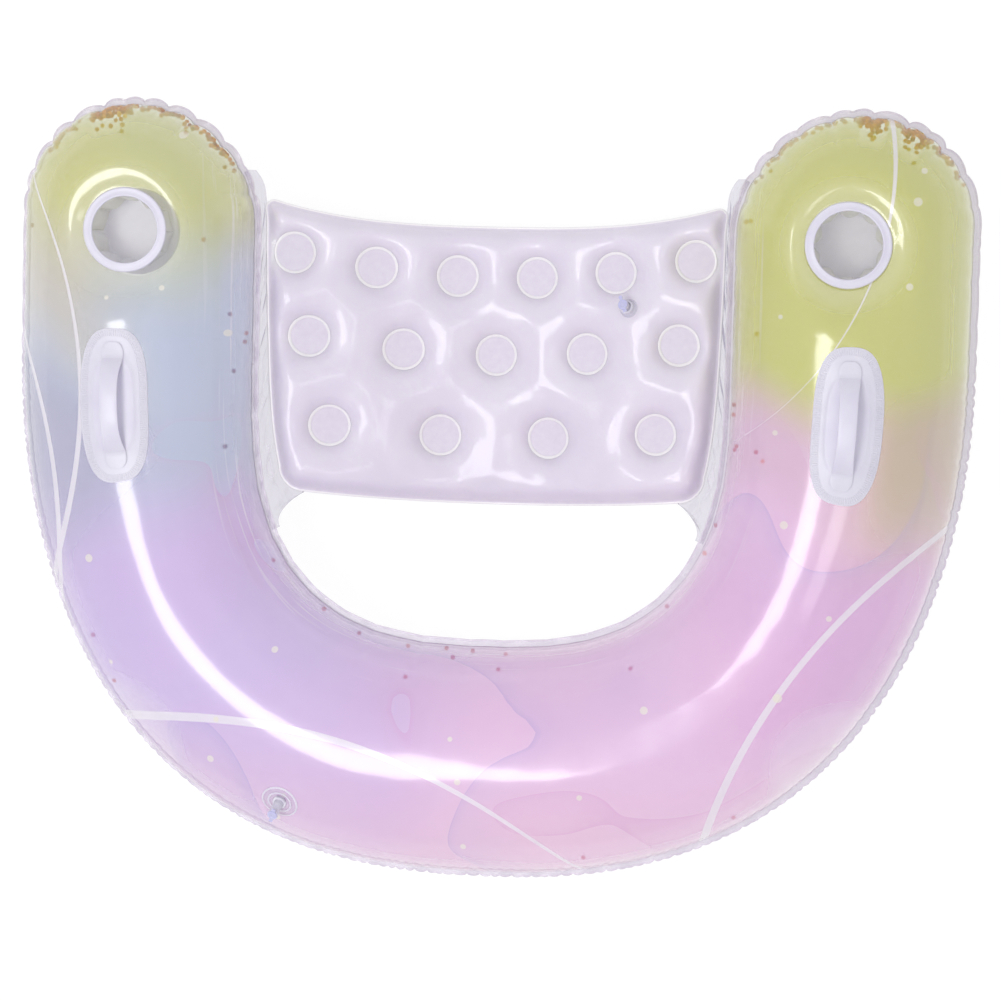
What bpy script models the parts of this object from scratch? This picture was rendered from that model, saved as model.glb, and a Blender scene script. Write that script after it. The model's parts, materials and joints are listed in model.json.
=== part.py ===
"""Inflatable pool lounger: a U-shaped tube of two welded film panels round a tufted sling seat.

Metres, +Z up. The lounger stands on its flat underside at Z = 0, the sitter faces +Y, and +X is the
sitter's right. The origin is under the middle of the outline.
"""
import math

import bmesh
import bpy
import numpy as np
from mathutils import Matrix, Vector
from mathutils.geometry import delaunay_2d_cdt

# Film and running clearances
FILM = 0.0004                 # PVC film of the tube and the seat
GAP = 0.0003                  # between pieces that touch
WELD_LIP = 0.009              # flat welded lip outside the tube's air chamber

# Tube, measured over its weld lips
OVERALL_WIDTH = 1.226
OVERALL_LENGTH = 0.991
ARM_WIDTH = 0.314
BACK_WIDTH = 0.307
BEND_LENGTH = 0.516           # how far ahead of the backrest's centreline the arms start to turn in
BEND_FULLNESS = 2.5           # 2 is an ellipse, more is squarer
BEND_WAIST = 0.004            # taken off each side half way round the bend
ARM_END_LEAN = 0.0045         # how far the round end of each arm leans outwards
SEAM_HEIGHT = 0.134
CROWN_HEIGHT = 0.140          # of the top panel above the seam
FOOT_WIDTH = 0.076            # flat band that the tube rests on

# Cups, each on its own arm
CUP_INWARD = 0.007            # cup centre from the arm's centreline
CUP_FROM_FRONT = 0.1735       # arm end to cup centre
CUP_MOUTH = 0.083
CUP_RIM_WIDTH = 0.0115
CUP_RIM_HEIGHT = 0.0030
CUP_DEPTH = 0.070
CUP_BODY_RADIUS = 0.0450      # to the creases between the wall's panels
CUP_PANELS = 10
CUP_WALL_BULGE = 0.0070       # how far air pressure pushes each panel inwards
CUP_WALL = 0.0006
CUP_FLOOR_LIP = 0.009
CUP_FLOOR_RISE = 0.0004       # of the disc that a cup stands on, above the weld flange
CUP_SEAT_DROP = 0.022         # flat land round each cup, below the crown
CUP_SHOULDER = 0.092          # radius of that land
CUP_SHOULDER_BLEND = 0.033

# Handles
HANDLE_FROM_FRONT = 0.3925    # arm end to handle centre
HANDLE_BASE_LENGTH = 0.200
HANDLE_BASE_WIDTH = 0.091
HANDLE_BASE = 0.0008
HANDLE_PAD = 0.0010           # extra thickness inside the weld band
HANDLE_WELD_BAND = 0.016
GRIP_LENGTH = 0.157
GRIP_WIDTH = 0.015
GRIP_END_WIDTH = 0.024
GRIP_END_LENGTH = 0.020
GRIP_THICKNESS = 0.0032
GRIP_RISE = 0.026

# Seat
SEAT_FROM_FRONT = 0.1545      # arm end to the middle of the seat's front edge
SEAT_DEPTH = 0.361
SEAT_FRONT_BOW = 0.031        # how far the front corners stand ahead of the front edge's middle
SEAT_FRONT_POWER = 3.0        # 2 is an even bow, more is flatter in the middle
SEAT_REAR_BOW = 0.014
SEAT_FRONT_CORNER = 0.012
SEAT_REAR_CORNER = 0.034
SEAT_LIP = 0.006
SEAT_DROP_FRONT = 0.013       # of the seat's side lip below the tube's seam
SEAT_DROP_REAR = 0.030
SEAT_SAG = 0.050
SEAT_PUFF = 0.028             # half thickness where no weld is near
SEAT_EDGE_ROUND = 0.030
TUFT_REACH = 0.060            # how far from a spot weld the mat regains its thickness
SPOT_WELD_RADIUS = 0.0235
# Rows of spot welds, front to rear: number, distance behind the front edge, side margin, bow
WELD_ROWS = (
    (6, 0.066, 0.037, 0.026),
    (5, 0.166, 0.054, 0.019),
    (4, 0.273, 0.074, 0.011),
)

# Clear webs that hang the seat from the tube's inner seam
WEB_FILM = 0.00035
WEB_FRONT = 0.0035            # plan width between the tube's lip and the seat's lip
WEB_REAR = 0.0200
WEB_TAB = 0.036               # three-cornered tab ahead of the seat's front corner
WEB_TAIL = 0.046              # along the tube behind the seat's rear corner
WEB_HEM = 0.002

# Valves
STEM_RADIUS = 0.0060
STEM_BORE = 0.0035
STEM_LIP = 0.0010             # how far the top lip and the inner bead stand out from the stem
STEM_LIP_HEIGHT = 0.0020
STEM_TAIL = 0.0075            # inside the chamber
COLLAR_WALL = 0.0022
COLLAR_HEIGHT = 0.0030
FLANGE = 0.0008
STEM_CLEARANCE = 0.0004
FILM_HOLE_CLEARANCE = 0.0022  # round the stem, where it passes through the film
CAP_THICKNESS = 0.0020
NOSE_LENGTH = 0.0035
NOSE_TIP = 0.0024
NOSE_CLEARANCE = 0.0004
STRAP_THICKNESS = 0.0009
STRAP_WIDTH = 0.0050
STRAP_REACH = 0.0100          # stem axis to the strap's fold line
PULL_TAB_REACH = 0.0130
PULL_TAB_LENGTH = 0.0040
PULL_TAB_ROUND = 0.0010
VALVE_EDGE = 0.0006           # chamfer of the collars, lips and caps
FLAP_THICKNESS = 0.0008
FLAP_MARGIN = 0.0011          # how far the flap laps over the bore's edge
FLAP_HINGE_MARGIN = 0.0007

TUBE_VALVE_FLANGE = 0.048
TUBE_VALVE_STEM = 0.024       # how far the stem stands up when pulled out
TUBE_VALVE_ALONG = 0.212      # left of the middle of the backrest
TUBE_VALVE_OUT = 0.085        # outwards from the tube's crest

SEAT_VALVE_FLANGE = 0.024
SEAT_VALVE_STEM = 0.012
SEAT_VALVE_X = 0.172
SEAT_VALVE_BEHIND_FRONT = 0.100

CUT_REACH = 0.010             # how far a cutter stands out on each side of the film
SLOPE_SPAN = 0.002            # over which a surface's slope is taken

# Facets
CAP_STEPS = 12                # round each arm end
ARM_STEPS = 5                 # along each straight arm
BEND_STEPS = 30
WELD_SIDES = 10
CUP_STEPS = 30
VALVE_STEPS = 16

ARM_X = (OVERALL_WIDTH - ARM_WIDTH) / 2
ARM_HALF = ARM_WIDTH / 2
BACK_HALF = BACK_WIDTH / 2
FRONT_Y = OVERALL_LENGTH / 2
ARM_END_Y = FRONT_Y - ARM_HALF
BACK_LINE_Y = -OVERALL_LENGTH / 2 + BACK_HALF
BEND_Y = BACK_LINE_Y + BEND_LENGTH
CROWN_Z = SEAM_HEIGHT + CROWN_HEIGHT
CUP_X = ARM_X - CUP_INWARD
CUP_Y = FRONT_Y - CUP_FROM_FRONT
CUP_LAND_Z = CROWN_Z - CUP_SEAT_DROP
SEAT_FRONT_Y = FRONT_Y - SEAT_FROM_FRONT
SEAT_REAR_Y = SEAT_FRONT_Y - SEAT_DEPTH

PRINTED_FILM = ("printed_film", (0.66, 0.53, 0.70, 1.0), 0.22)
CLEAR_FILM = ("clear_film", (0.80, 0.78, 0.86, 1.0), 0.12)
MILKY_FILM = ("milky_film", (0.73, 0.68, 0.79, 1.0), 0.20)
WHITE_VINYL = ("white_vinyl", (0.77, 0.74, 0.85, 1.0), 0.38)
VALVE_VINYL = ("valve_vinyl", (0.72, 0.69, 0.84, 1.0), 0.30)
STOPPER_VINYL = ("stopper_vinyl", (0.61, 0.57, 0.85, 1.0), 0.32)


def smooth(t):
    t = min(max(t, 0.0), 1.0)
    return t * t * (3.0 - 2.0 * t)


def dome(t):
    """Quarter circle: 0 at t = 0 with a steep start, 1 and level from t = 1."""
    t = min(max(t, 0.0), 1.0)
    return math.sqrt(1.0 - (1.0 - t) ** 2)


# Objects and materials

def material(look):
    name, colour, roughness = look
    found = bpy.data.materials.get(name)
    if found:
        return found
    made = bpy.data.materials.new(name)
    made.use_nodes = True
    shader = made.node_tree.nodes["Principled BSDF"]
    shader.inputs["Base Color"].default_value = colour
    shader.inputs["Roughness"].default_value = roughness
    shader.inputs["Metallic"].default_value = 0.0
    return made


def add_object(name, bm, look, frame=None):
    """Make a named object from a bmesh, smooth except at real edges."""
    bmesh.ops.recalc_face_normals(bm, faces=bm.faces)
    mesh = bpy.data.meshes.new(name)
    bm.to_mesh(mesh)
    bm.free()
    mesh.shade_smooth()
    mesh.set_sharp_from_angle(angle=math.radians(35))
    mesh.materials.append(material(look))
    obj = bpy.data.objects.new(name, mesh)
    bpy.context.scene.collection.objects.link(obj)
    if frame is not None:
        obj.matrix_world = frame
    return obj


def mesh_from(points, faces):
    bm = bmesh.new()
    verts = [bm.verts.new(p) for p in points]
    for face in faces:
        bm.faces.new([verts[i] for i in face])
    return bm


def film_mesh(outer, inner, faces, rim):
    """Close two matching skins into one sheet of film along its rim, a loop of point numbers."""
    shift = len(outer)
    joined = list(faces)
    joined += [[i + shift for i in reversed(face)] for face in faces]
    for a, b in zip(rim, rim[1:] + rim[:1]):
        joined.append([a + shift, b + shift, b, a])
    return mesh_from(list(outer) + list(inner), joined)


def turned(profile, steps):
    """Turn a closed loop of (radius, height) points about Z; radius 0 makes a pole."""
    bm = bmesh.new()
    rings = []
    for radius, height in profile:
        if radius == 0.0:
            rings.append([bm.verts.new((0.0, 0.0, height))] * steps)
            continue
        angles = [2 * math.pi * k / steps for k in range(steps)]
        rings.append([bm.verts.new((radius * math.cos(a), radius * math.sin(a), height)) for a in angles])
    for low, high in zip(rings, rings[1:] + rings[:1]):
        for k in range(steps):
            corners = []
            for vert in (low[k], low[k - 1], high[k - 1], high[k]):
                if vert not in corners:
                    corners.append(vert)
            if len(corners) > 2:
                bm.faces.new(corners)
    return bm


def plate(outline, low, high):
    """Extrude a plan outline from one height to another."""
    count = len(outline)
    points = [(x, y, low) for x, y in outline] + [(x, y, high) for x, y in outline]
    faces = [list(range(count)), list(range(count, 2 * count))]
    for a in range(count):
        b = (a + 1) % count
        faces.append([a, b, b + count, a + count])
    return mesh_from(points, faces)


def cutter(name, radius, frame):
    """Round cutter whose flats, not its corners, stand at the radius."""
    corner = radius / math.cos(math.pi / CUP_STEPS)
    profile = [(0.0, -CUT_REACH), (corner, -CUT_REACH), (corner, CUT_REACH), (0.0, CUT_REACH)]
    bm = turned(profile, CUP_STEPS)
    obj = add_object(name, bm, CLEAR_FILM, frame)
    obj.hide_render = True
    obj.display_type = "WIRE"
    return obj


def boolean(obj, other, operation):
    step = obj.modifiers.new(other.name, "BOOLEAN")
    step.operation = operation
    step.solver = "EXACT"
    step.object = other


# The tube's centreline, from the right arm's end round the backrest to the left arm's end

def centreline_table(samples=4000):
    turn = np.linspace(0.0, math.pi, samples)
    power = 2.0 / BEND_FULLNESS
    bend_x = ARM_X * np.sign(np.cos(turn)) * np.abs(np.cos(turn)) ** power
    bend_y = BEND_Y - BEND_LENGTH * np.abs(np.sin(turn)) ** power
    x = np.concatenate(([ARM_X], bend_x, [-ARM_X]))
    y = np.concatenate(([ARM_END_Y], bend_y, [ARM_END_Y]))
    length = np.concatenate(([0.0], np.cumsum(np.hypot(np.diff(x), np.diff(y)))))
    even = np.linspace(0.0, length[-1], samples)
    return even, np.interp(even, length, x), np.interp(even, length, y)


LINE_S, LINE_X, LINE_Y = centreline_table()
LINE_TX = np.gradient(LINE_X, LINE_S)
LINE_TY = np.gradient(LINE_Y, LINE_S)
LINE_LENGTH = float(LINE_S[-1])


def line_at(s):
    """Centreline point and the outward normal there."""
    x = np.interp(s, LINE_S, LINE_X)
    y = np.interp(s, LINE_S, LINE_Y)
    tx = np.interp(s, LINE_S, LINE_TX)
    ty = np.interp(s, LINE_S, LINE_TY)
    size = math.hypot(tx, ty)
    return Vector((x, y)), Vector((-ty / size, tx / size))


def half_width(y):
    """Half the tube's width over its lips, where the centreline is at this Y."""
    share = min(max((y - BACK_LINE_Y) / BEND_LENGTH, 0.0), 1.0)
    return BACK_HALF + (ARM_HALF - BACK_HALF) * smooth(share) - BEND_WAIST * math.sin(math.pi * share) ** 2


def end_radius(angle):
    """Radius of an arm's round end, at an angle from the side away from the seat."""
    return ARM_HALF + ARM_END_LEAN * math.sin(2 * angle)


def tube_section(x, y):
    """Distance from the tube's medial line and the chamber's half width, at a plan point."""
    i = int(np.argmin((LINE_X - x) ** 2 + (LINE_Y - y) ** 2))
    distance = math.hypot(LINE_X[i] - x, LINE_Y[i] - y)
    return distance, half_width(LINE_Y[i]) - WELD_LIP


def cup_land(x, y, z):
    """Bring the crown down to a flat land round each cup."""
    away = math.hypot(abs(x) - CUP_X, y - CUP_Y)
    share = smooth(1.0 - (away - CUP_SHOULDER) / CUP_SHOULDER_BLEND)
    return z + (min(z, CUP_LAND_Z) - z) * share


def tube_top(x, y):
    """Height of the top panel's outer face."""
    distance, chamber = tube_section(x, y)
    crown = math.sqrt(max(1.0 - (distance / chamber) ** 2, 0.0))
    return cup_land(x, y, SEAM_HEIGHT + CROWN_HEIGHT * crown)


def tube_stations():
    """Centreline distances: close together on the arms, even round the bend."""
    straight = ARM_END_Y - BEND_Y
    arm = [straight * i / ARM_STEPS for i in range(ARM_STEPS)]
    bend = list(np.linspace(straight, LINE_LENGTH - straight, BEND_STEPS + 1))
    return arm + bend + [LINE_LENGTH - s for s in reversed(arm)]


def tube_spokes():
    """Spokes round the outline, anticlockwise: medial number, medial point, direction, half width."""
    stations = tube_stations()
    last = len(stations) - 1
    points = [line_at(s) for s in stations]
    spokes = []

    def arm_end(number):
        centre = points[number][0]
        for i in range(CAP_STEPS + 1):
            angle = math.pi * i / CAP_STEPS
            half = end_radius(angle if centre.x > 0.0 else math.pi - angle)
            spokes.append((number, centre, Vector((math.cos(angle), math.sin(angle))), half))

    arm_end(0)
    for k in range(1, last):
        spokes.append((k, points[k][0], -points[k][1], half_width(points[k][0].y)))
    arm_end(last)
    for k in range(last - 1, 0, -1):
        spokes.append((k, points[k][0], points[k][1], half_width(points[k][0].y)))
    return [p[0] for p in points], spokes


def tube_skin(rows, height, lip_z, grow):
    """Points of one skin of a tube panel: the medial line, then each spoke's rows and its lip.

    rows gives the chamber shares of the rows for a chamber half width, height the skin's height at
    a share, and grow widens the chamber by the film's thickness on the outer skin.
    """
    medial, spokes = tube_spokes()
    points = [(m.x, m.y, height(m.x, m.y, 0.0, half_width(m.y) - WELD_LIP)) for m in medial]
    for number, centre, direction, half in spokes:
        chamber = half - WELD_LIP
        for share in rows(chamber):
            at = centre + direction * ((chamber + grow) * share)
            z = lip_z if share == 1.0 else height(at.x, at.y, share, chamber)
            points.append((at.x, at.y, z))
        edge = centre + direction * half
        points.append((edge.x, edge.y, lip_z))
    return points


def tube_faces(row_count):
    medial, spokes = tube_spokes()
    per_spoke = row_count + 1
    start = len(medial)
    faces = []
    rim = []
    for i, spoke in enumerate(spokes):
        j = (i + 1) % len(spokes)
        a = start + i * per_spoke
        b = start + j * per_spoke
        ma = spoke[0]
        mb = spokes[j][0]
        faces.append([ma, a, b] if ma == mb else [ma, a, b, mb])
        for row in range(row_count):
            faces.append([a + row, a + row + 1, b + row + 1, b + row])
        rim.append(a + row_count)
    return faces, rim


TOP_ANGLES = (75.0, 58.0, 41.0, 25.0, 11.0, 0.0)
BELLY_ANGLES = (52.0, 33.0, 15.0, 0.0)


def tube_top_panel():
    shares = [math.cos(math.radians(a)) if a else 1.0 for a in TOP_ANGLES]

    def skin(drop, lip_z):
        def height(x, y, share, chamber):
            round_share = math.sqrt(1.0 - share ** 2)
            outer = cup_land(x, y, SEAM_HEIGHT + CROWN_HEIGHT * round_share)
            return outer - drop * round_share
        return tube_skin(lambda chamber: shares, height, lip_z, -drop)

    lip = SEAM_HEIGHT + GAP / 2
    faces, rim = tube_faces(len(shares))
    bm = film_mesh(skin(0.0, lip + FILM), skin(FILM, lip), faces, rim)
    panel = add_object("tube_top_panel", bm, PRINTED_FILM)
    for side in (-1, 1):
        frame = Matrix.Translation((side * CUP_X, CUP_Y, CUP_LAND_Z))
        name = "cup_cut_left" if side < 0 else "cup_cut_right"
        boolean(panel, cutter(name, cup_neck() + CUP_WALL + GAP, frame), "DIFFERENCE")
    hole = STEM_RADIUS + FILM_HOLE_CLEARANCE
    boolean(panel, cutter("tube_valve_cut", hole, tube_valve_frame()), "DIFFERENCE")


def tube_bottom_panel():
    """The belly hangs from the seam and is pressed flat where it stands."""
    def foot_share(chamber):
        return FOOT_WIDTH / 2 / chamber

    def rows(chamber):
        start = foot_share(chamber)
        turned_shares = [math.cos(math.radians(a)) if a else 1.0 for a in BELLY_ANGLES]
        return [start] + turned_shares

    def skin(thickness, lip_z):
        def height(x, y, share, chamber):
            start = foot_share(chamber)
            if share <= start:
                return thickness
            belly = (SEAM_HEIGHT - thickness) / math.sqrt(1.0 - start ** 2)
            return SEAM_HEIGHT - belly * math.sqrt(1.0 - share ** 2)
        return tube_skin(rows, height, lip_z, -thickness)

    lip = SEAM_HEIGHT - GAP / 2
    faces, rim = tube_faces(len(BELLY_ANGLES) + 1)
    bm = film_mesh(skin(0.0, lip - FILM), skin(FILM, lip), faces, rim)
    add_object("tube_bottom_panel", bm, CLEAR_FILM)


# Seat

def inner_edge_table():
    """Inner edge of the tube's lip on the right, as X against Y, from round the arm's end."""
    xs = []
    ys = []
    for angle in np.radians(np.linspace(80.0, 5.0, 16)):
        xs.append(ARM_X - end_radius(math.pi - angle) * math.cos(angle))
        ys.append(ARM_END_Y + end_radius(math.pi - angle) * math.sin(angle))
    for s in np.linspace(0.0, LINE_LENGTH / 2, 300):
        point, normal = line_at(s)
        edge = point - normal * half_width(point.y)
        xs.append(edge.x)
        ys.append(edge.y)
    order = np.argsort(ys)
    return np.array(ys)[order], np.array(xs)[order]


EDGE_Y, EDGE_X = inner_edge_table()


def inner_edge(y):
    return float(np.interp(y, EDGE_Y, EDGE_X))


def seat_share(y):
    """0 at the seat's rear edge, 1 at its front edge."""
    return min(max((y - SEAT_REAR_Y) / SEAT_DEPTH, 0.0), 1.0)


def seat_half(y):
    web = WEB_FRONT + (WEB_REAR - WEB_FRONT) * (1.0 - seat_share(y)) ** 2
    return inner_edge(y) - web


def seat_front(x):
    return SEAT_FRONT_Y + SEAT_FRONT_BOW * (abs(x) / seat_half(SEAT_FRONT_Y)) ** SEAT_FRONT_POWER


def seat_rear(x):
    return SEAT_REAR_Y + SEAT_REAR_BOW * (x / seat_half(SEAT_REAR_Y)) ** 2


def corner_centre(radius, front):
    x = seat_half(SEAT_FRONT_Y if front else SEAT_REAR_Y) - radius
    for _ in range(8):
        y = seat_front(x) - radius if front else seat_rear(x) + radius
        x = seat_half(y) - radius
    return x, y


FRONT_CORNER = corner_centre(SEAT_FRONT_CORNER, True)
REAR_CORNER = corner_centre(SEAT_REAR_CORNER, False)


def corner_arc(centre, radius, inset, start, stop, steps):
    angles = np.radians(np.linspace(start, stop, steps + 1))
    size = radius - inset
    return [(centre[0] + size * math.cos(a), centre[1] + size * math.sin(a)) for a in angles]


def seat_side(inset):
    """Right side of the seat from its front corner round its rear corner."""
    points = []
    for y in np.linspace(FRONT_CORNER[1], REAR_CORNER[1], 9)[:-1]:
        points.append((seat_half(y) - inset, float(y)))
    return points + corner_arc(REAR_CORNER, SEAT_REAR_CORNER, inset, 0.0, -90.0, 5)


def seat_outline(inset):
    right = [(x, seat_front(x) - inset) for x in np.linspace(0.0, FRONT_CORNER[0], 7)[:-1]]
    right += corner_arc(FRONT_CORNER, SEAT_FRONT_CORNER, inset, 90.0, 0.0, 2)[:-1]
    right += seat_side(inset)
    right += [(x, seat_rear(x) + inset) for x in np.linspace(REAR_CORNER[0], 0.0, 7)[1:]]
    left = [(-x, y) for x, y in reversed(right[1:-1])]
    return right + left


def seat_welds():
    welds = []
    for count, behind, margin, bow in WELD_ROWS:
        y = SEAT_FRONT_Y - behind
        end = seat_half(y + bow) - margin
        for i in range(count):
            x = end * (2.0 * i / (count - 1) - 1.0)
            welds.append((x, y + bow * (x / end) ** 2))
    return welds


WELDS = seat_welds()


def distance_to_loop(loop, x, y):
    a = np.array(loop)
    b = np.roll(a, -1, axis=0)
    run = b - a
    share = ((x - a[:, 0]) * run[:, 0] + (y - a[:, 1]) * run[:, 1]) / (run ** 2).sum(axis=1)
    near = a + run * np.clip(share, 0.0, 1.0)[:, None]
    return float(np.hypot(near[:, 0] - x, near[:, 1] - y).min())


CHAMBER_LOOP = seat_outline(SEAT_LIP)


def inside_loop(loop, x, y):
    inside = False
    for (ax, ay), (bx, by) in zip(loop, loop[1:] + loop[:1]):
        if (ay > y) != (by > y) and x < ax + (bx - ax) * (y - ay) / (by - ay):
            inside = not inside
    return inside


def seat_mid(x, y):
    """Height of the weld plane: level at the side lips, sagging like a sling between them."""
    across = min(abs(x) / seat_half(y), 1.0)
    drop = SEAT_DROP_REAR + (SEAT_DROP_FRONT - SEAT_DROP_REAR) * seat_share(y)
    return SEAM_HEIGHT - drop - SEAT_SAG * (1.0 - across ** 2) ** 2


def seat_puff(x, y):
    """Half thickness: round at the edge, drawn in to nothing at each spot weld."""
    if not inside_loop(CHAMBER_LOOP, x, y):
        return 0.0
    puff = SEAT_PUFF * dome(distance_to_loop(CHAMBER_LOOP, x, y) / SEAT_EDGE_ROUND)
    for wx, wy in WELDS:
        puff *= dome((math.hypot(x - wx, y - wy) - SPOT_WELD_RADIUS) / TUFT_REACH)
    return puff


def seat_top(x, y):
    """Height of the seat's upper face."""
    return seat_mid(x, y) + GAP / 2 + seat_puff(x, y) + FILM


def ring_points(centre, radius, sides, turn):
    angles = [2 * math.pi * (k + turn) / sides for k in range(sides)]
    return [(centre[0] + radius * math.cos(a), centre[1] + radius * math.sin(a)) for a in angles]


def seat_plan():
    """Plan triangles that follow the lip, the rounded edge and the circle of every spot weld."""
    points = []
    edges = []

    def add_loop(loop):
        first = len(points)
        points.extend(loop)
        edges.extend((first + k, first + (k + 1) % len(loop)) for k in range(len(loop)))

    add_loop(seat_outline(0.0))
    add_loop(CHAMBER_LOOP)
    add_loop(seat_outline(SEAT_LIP + SEAT_EDGE_ROUND / 4))
    valve = (SEAT_VALVE_X, SEAT_FRONT_Y - SEAT_VALVE_BEHIND_FRONT)
    add_loop(ring_points(valve, SEAT_VALVE_FLANGE / 2 + FLANGE, 12, 0.0))
    for weld in WELDS:
        add_loop(ring_points(weld, SPOT_WELD_RADIUS, WELD_SIDES, 0.0))

    def add_free(x, y, from_edge, apart):
        clear = inside_loop(CHAMBER_LOOP, x, y) and distance_to_loop(CHAMBER_LOOP, x, y) > from_edge
        if clear and min(math.hypot(x - px, y - py) for px, py in points) > apart:
            points.append((x, y))

    step = TUFT_REACH / 2.4
    for weld in WELDS:
        for x, y in ring_points(weld, SPOT_WELD_RADIUS + TUFT_REACH / 4, WELD_SIDES, 0.5):
            add_free(x, y, SEAT_EDGE_ROUND / 3, 0.4 * step)
    add_free(*valve, 0.0, 0.0)
    width = seat_half(SEAT_FRONT_Y)
    columns = int(2 * width / step)
    lines = int((SEAT_DEPTH + SEAT_FRONT_BOW) / step)
    for i in range(columns + 1):
        for j in range(lines + 1):
            x = -width + 2 * width * (i + 0.5 * (j % 2)) / columns
            y = SEAT_REAR_Y + (SEAT_DEPTH + SEAT_FRONT_BOW) * j / lines
            add_free(x, y, SEAT_EDGE_ROUND / 2, 0.55 * step)
    result = delaunay_2d_cdt([Vector(p) for p in points], edges, [], 1, 1e-6)
    return [(v.x, v.y) for v in result[0]], [list(f) for f in result[2]]


def seat_panels():
    plan, faces = seat_plan()
    for name, side in (("seat_top_panel", 1), ("seat_bottom_panel", -1)):
        points = []
        for x, y in plan:
            points.append((x, y, seat_mid(x, y) + side * (GAP / 2 + seat_puff(x, y))))
        bm = mesh_from(points, faces)
        bm.normal_update()
        for face in bm.faces:
            if face.normal.z * side < 0:
                face.normal_flip()
        mesh = bpy.data.meshes.new(name)
        bm.to_mesh(mesh)
        bm.free()
        mesh.shade_smooth()
        mesh.materials.append(material(MILKY_FILM))
        panel = bpy.data.objects.new(name, mesh)
        bpy.context.scene.collection.objects.link(panel)
        wall = panel.modifiers.new("film", "SOLIDIFY")
        wall.thickness = FILM
        wall.offset = 1.0
        wall.use_even_offset = True
        if side > 0:
            hole = STEM_RADIUS + FILM_HOLE_CLEARANCE
            boolean(panel, cutter("seat_valve_cut", hole, seat_valve_frame()), "DIFFERENCE")


def seat_webs():
    """Film from under the tube's inner lip down to under the seat's side lip."""
    side = seat_side(0.0)
    side_in = seat_side(SEAT_LIP - WEB_HEM)
    count = len(side)
    tip_y = side[0][1] + SEAT_FRONT_CORNER + WEB_TAB
    tail_y = side[-1][1] - WEB_TAIL / 2
    end_y = side[-1][1] - WEB_TAIL
    under_tube = SEAM_HEIGHT - GAP / 2 - FILM - GAP

    def tube_edge(y):
        """Edge of the tube's lip at this Y and the direction from it to the opening."""
        slope = (inner_edge(y + SLOPE_SPAN) - inner_edge(y - SLOPE_SPAN)) / (2 * SLOPE_SPAN)
        size = math.hypot(1.0, slope)
        return Vector((inner_edge(y), y)), Vector((-1.0 / size, slope / size))

    def under_seat(x, y):
        return seat_mid(x, y) - GAP / 2 - FILM - GAP

    sections = []

    def add_section(y, lower, lower_in, lower_z, lower_in_z):
        edge, inward = tube_edge(y)
        top_in = edge - inward * (WELD_LIP - WEB_HEM)
        top = edge + inward * (WEB_HEM / 4)
        sections.append([
            (top_in.x, top_in.y, under_tube),
            (top.x, top.y, under_tube),
            (lower.x, lower.y, lower_z),
            (lower_in.x, lower_in.y, lower_in_z),
        ])

    def free_section(y, lower, corner_z, share):
        """From the tube's lip to a free edge that rises from the seat's corner towards the lip."""
        edge = tube_edge(y)[0]
        z = under_tube + (corner_z - under_tube) * share
        beyond = lower + (lower - edge).normalized() * WEB_HEM
        add_section(y, lower, beyond, z, z)

    front = Vector((side[0][0] + WEB_HEM / 4, side[0][1] + SEAT_FRONT_CORNER))
    front_z = under_seat(*side[0])
    for i in range(3):
        y = tip_y + (front.y - tip_y) * i / 3
        free_section(y, Vector((front.x, y)), front_z, (1 + i) / 4)
    add_section(front.y, front, Vector((side_in[0][0], front.y)), front_z, front_z)
    rear_start = count - 6
    for i, (outer, inner) in enumerate(zip(side, side_in)):
        y = outer[1]
        if i > rear_start:
            y = side[rear_start][1] + (tail_y - side[rear_start][1]) * (i - rear_start) / 5
        outward = (Vector(outer) - Vector(inner)).normalized()
        lower = Vector(outer) + outward * (WEB_HEM / 4)
        z = under_seat(*outer)
        add_section(y, lower, Vector(inner), z, under_seat(*inner))
    rear = Vector(side[-1])
    rear_z = under_seat(*side[-1])
    for i in range(1, 4):
        y = tail_y + (end_y - tail_y) * i / 3
        share = (1.0 - i / 3) ** 3
        edge, inward = tube_edge(y)
        free_section(y, (edge + inward * WEB_HEM).lerp(rear, share), rear_z, share)

    width = len(sections[0])
    faces = []
    for i in range(len(sections) - 1):
        for j in range(width - 1):
            a = i * width + j
            faces.append([a, a + width, a + width + 1, a + 1])
    for name, sign in (("right_seat_web", 1), ("left_seat_web", -1)):
        points = [(sign * x, y, z) for section in sections for x, y, z in section]
        bm = mesh_from(points, [face[::sign] for face in faces])
        mesh = bpy.data.meshes.new(name)
        bm.to_mesh(mesh)
        bm.free()
        mesh.materials.append(material(CLEAR_FILM))
        web = bpy.data.objects.new(name, mesh)
        bpy.context.scene.collection.objects.link(web)
        wall = web.modifiers.new("film", "SOLIDIFY")
        wall.thickness = WEB_FILM
        wall.offset = 1.0
        wall.use_even_offset = True


# Cups

def cup_neck():
    """Inner radius of the wall where it meets the rim."""
    return CUP_MOUTH / 2 + GAP


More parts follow.
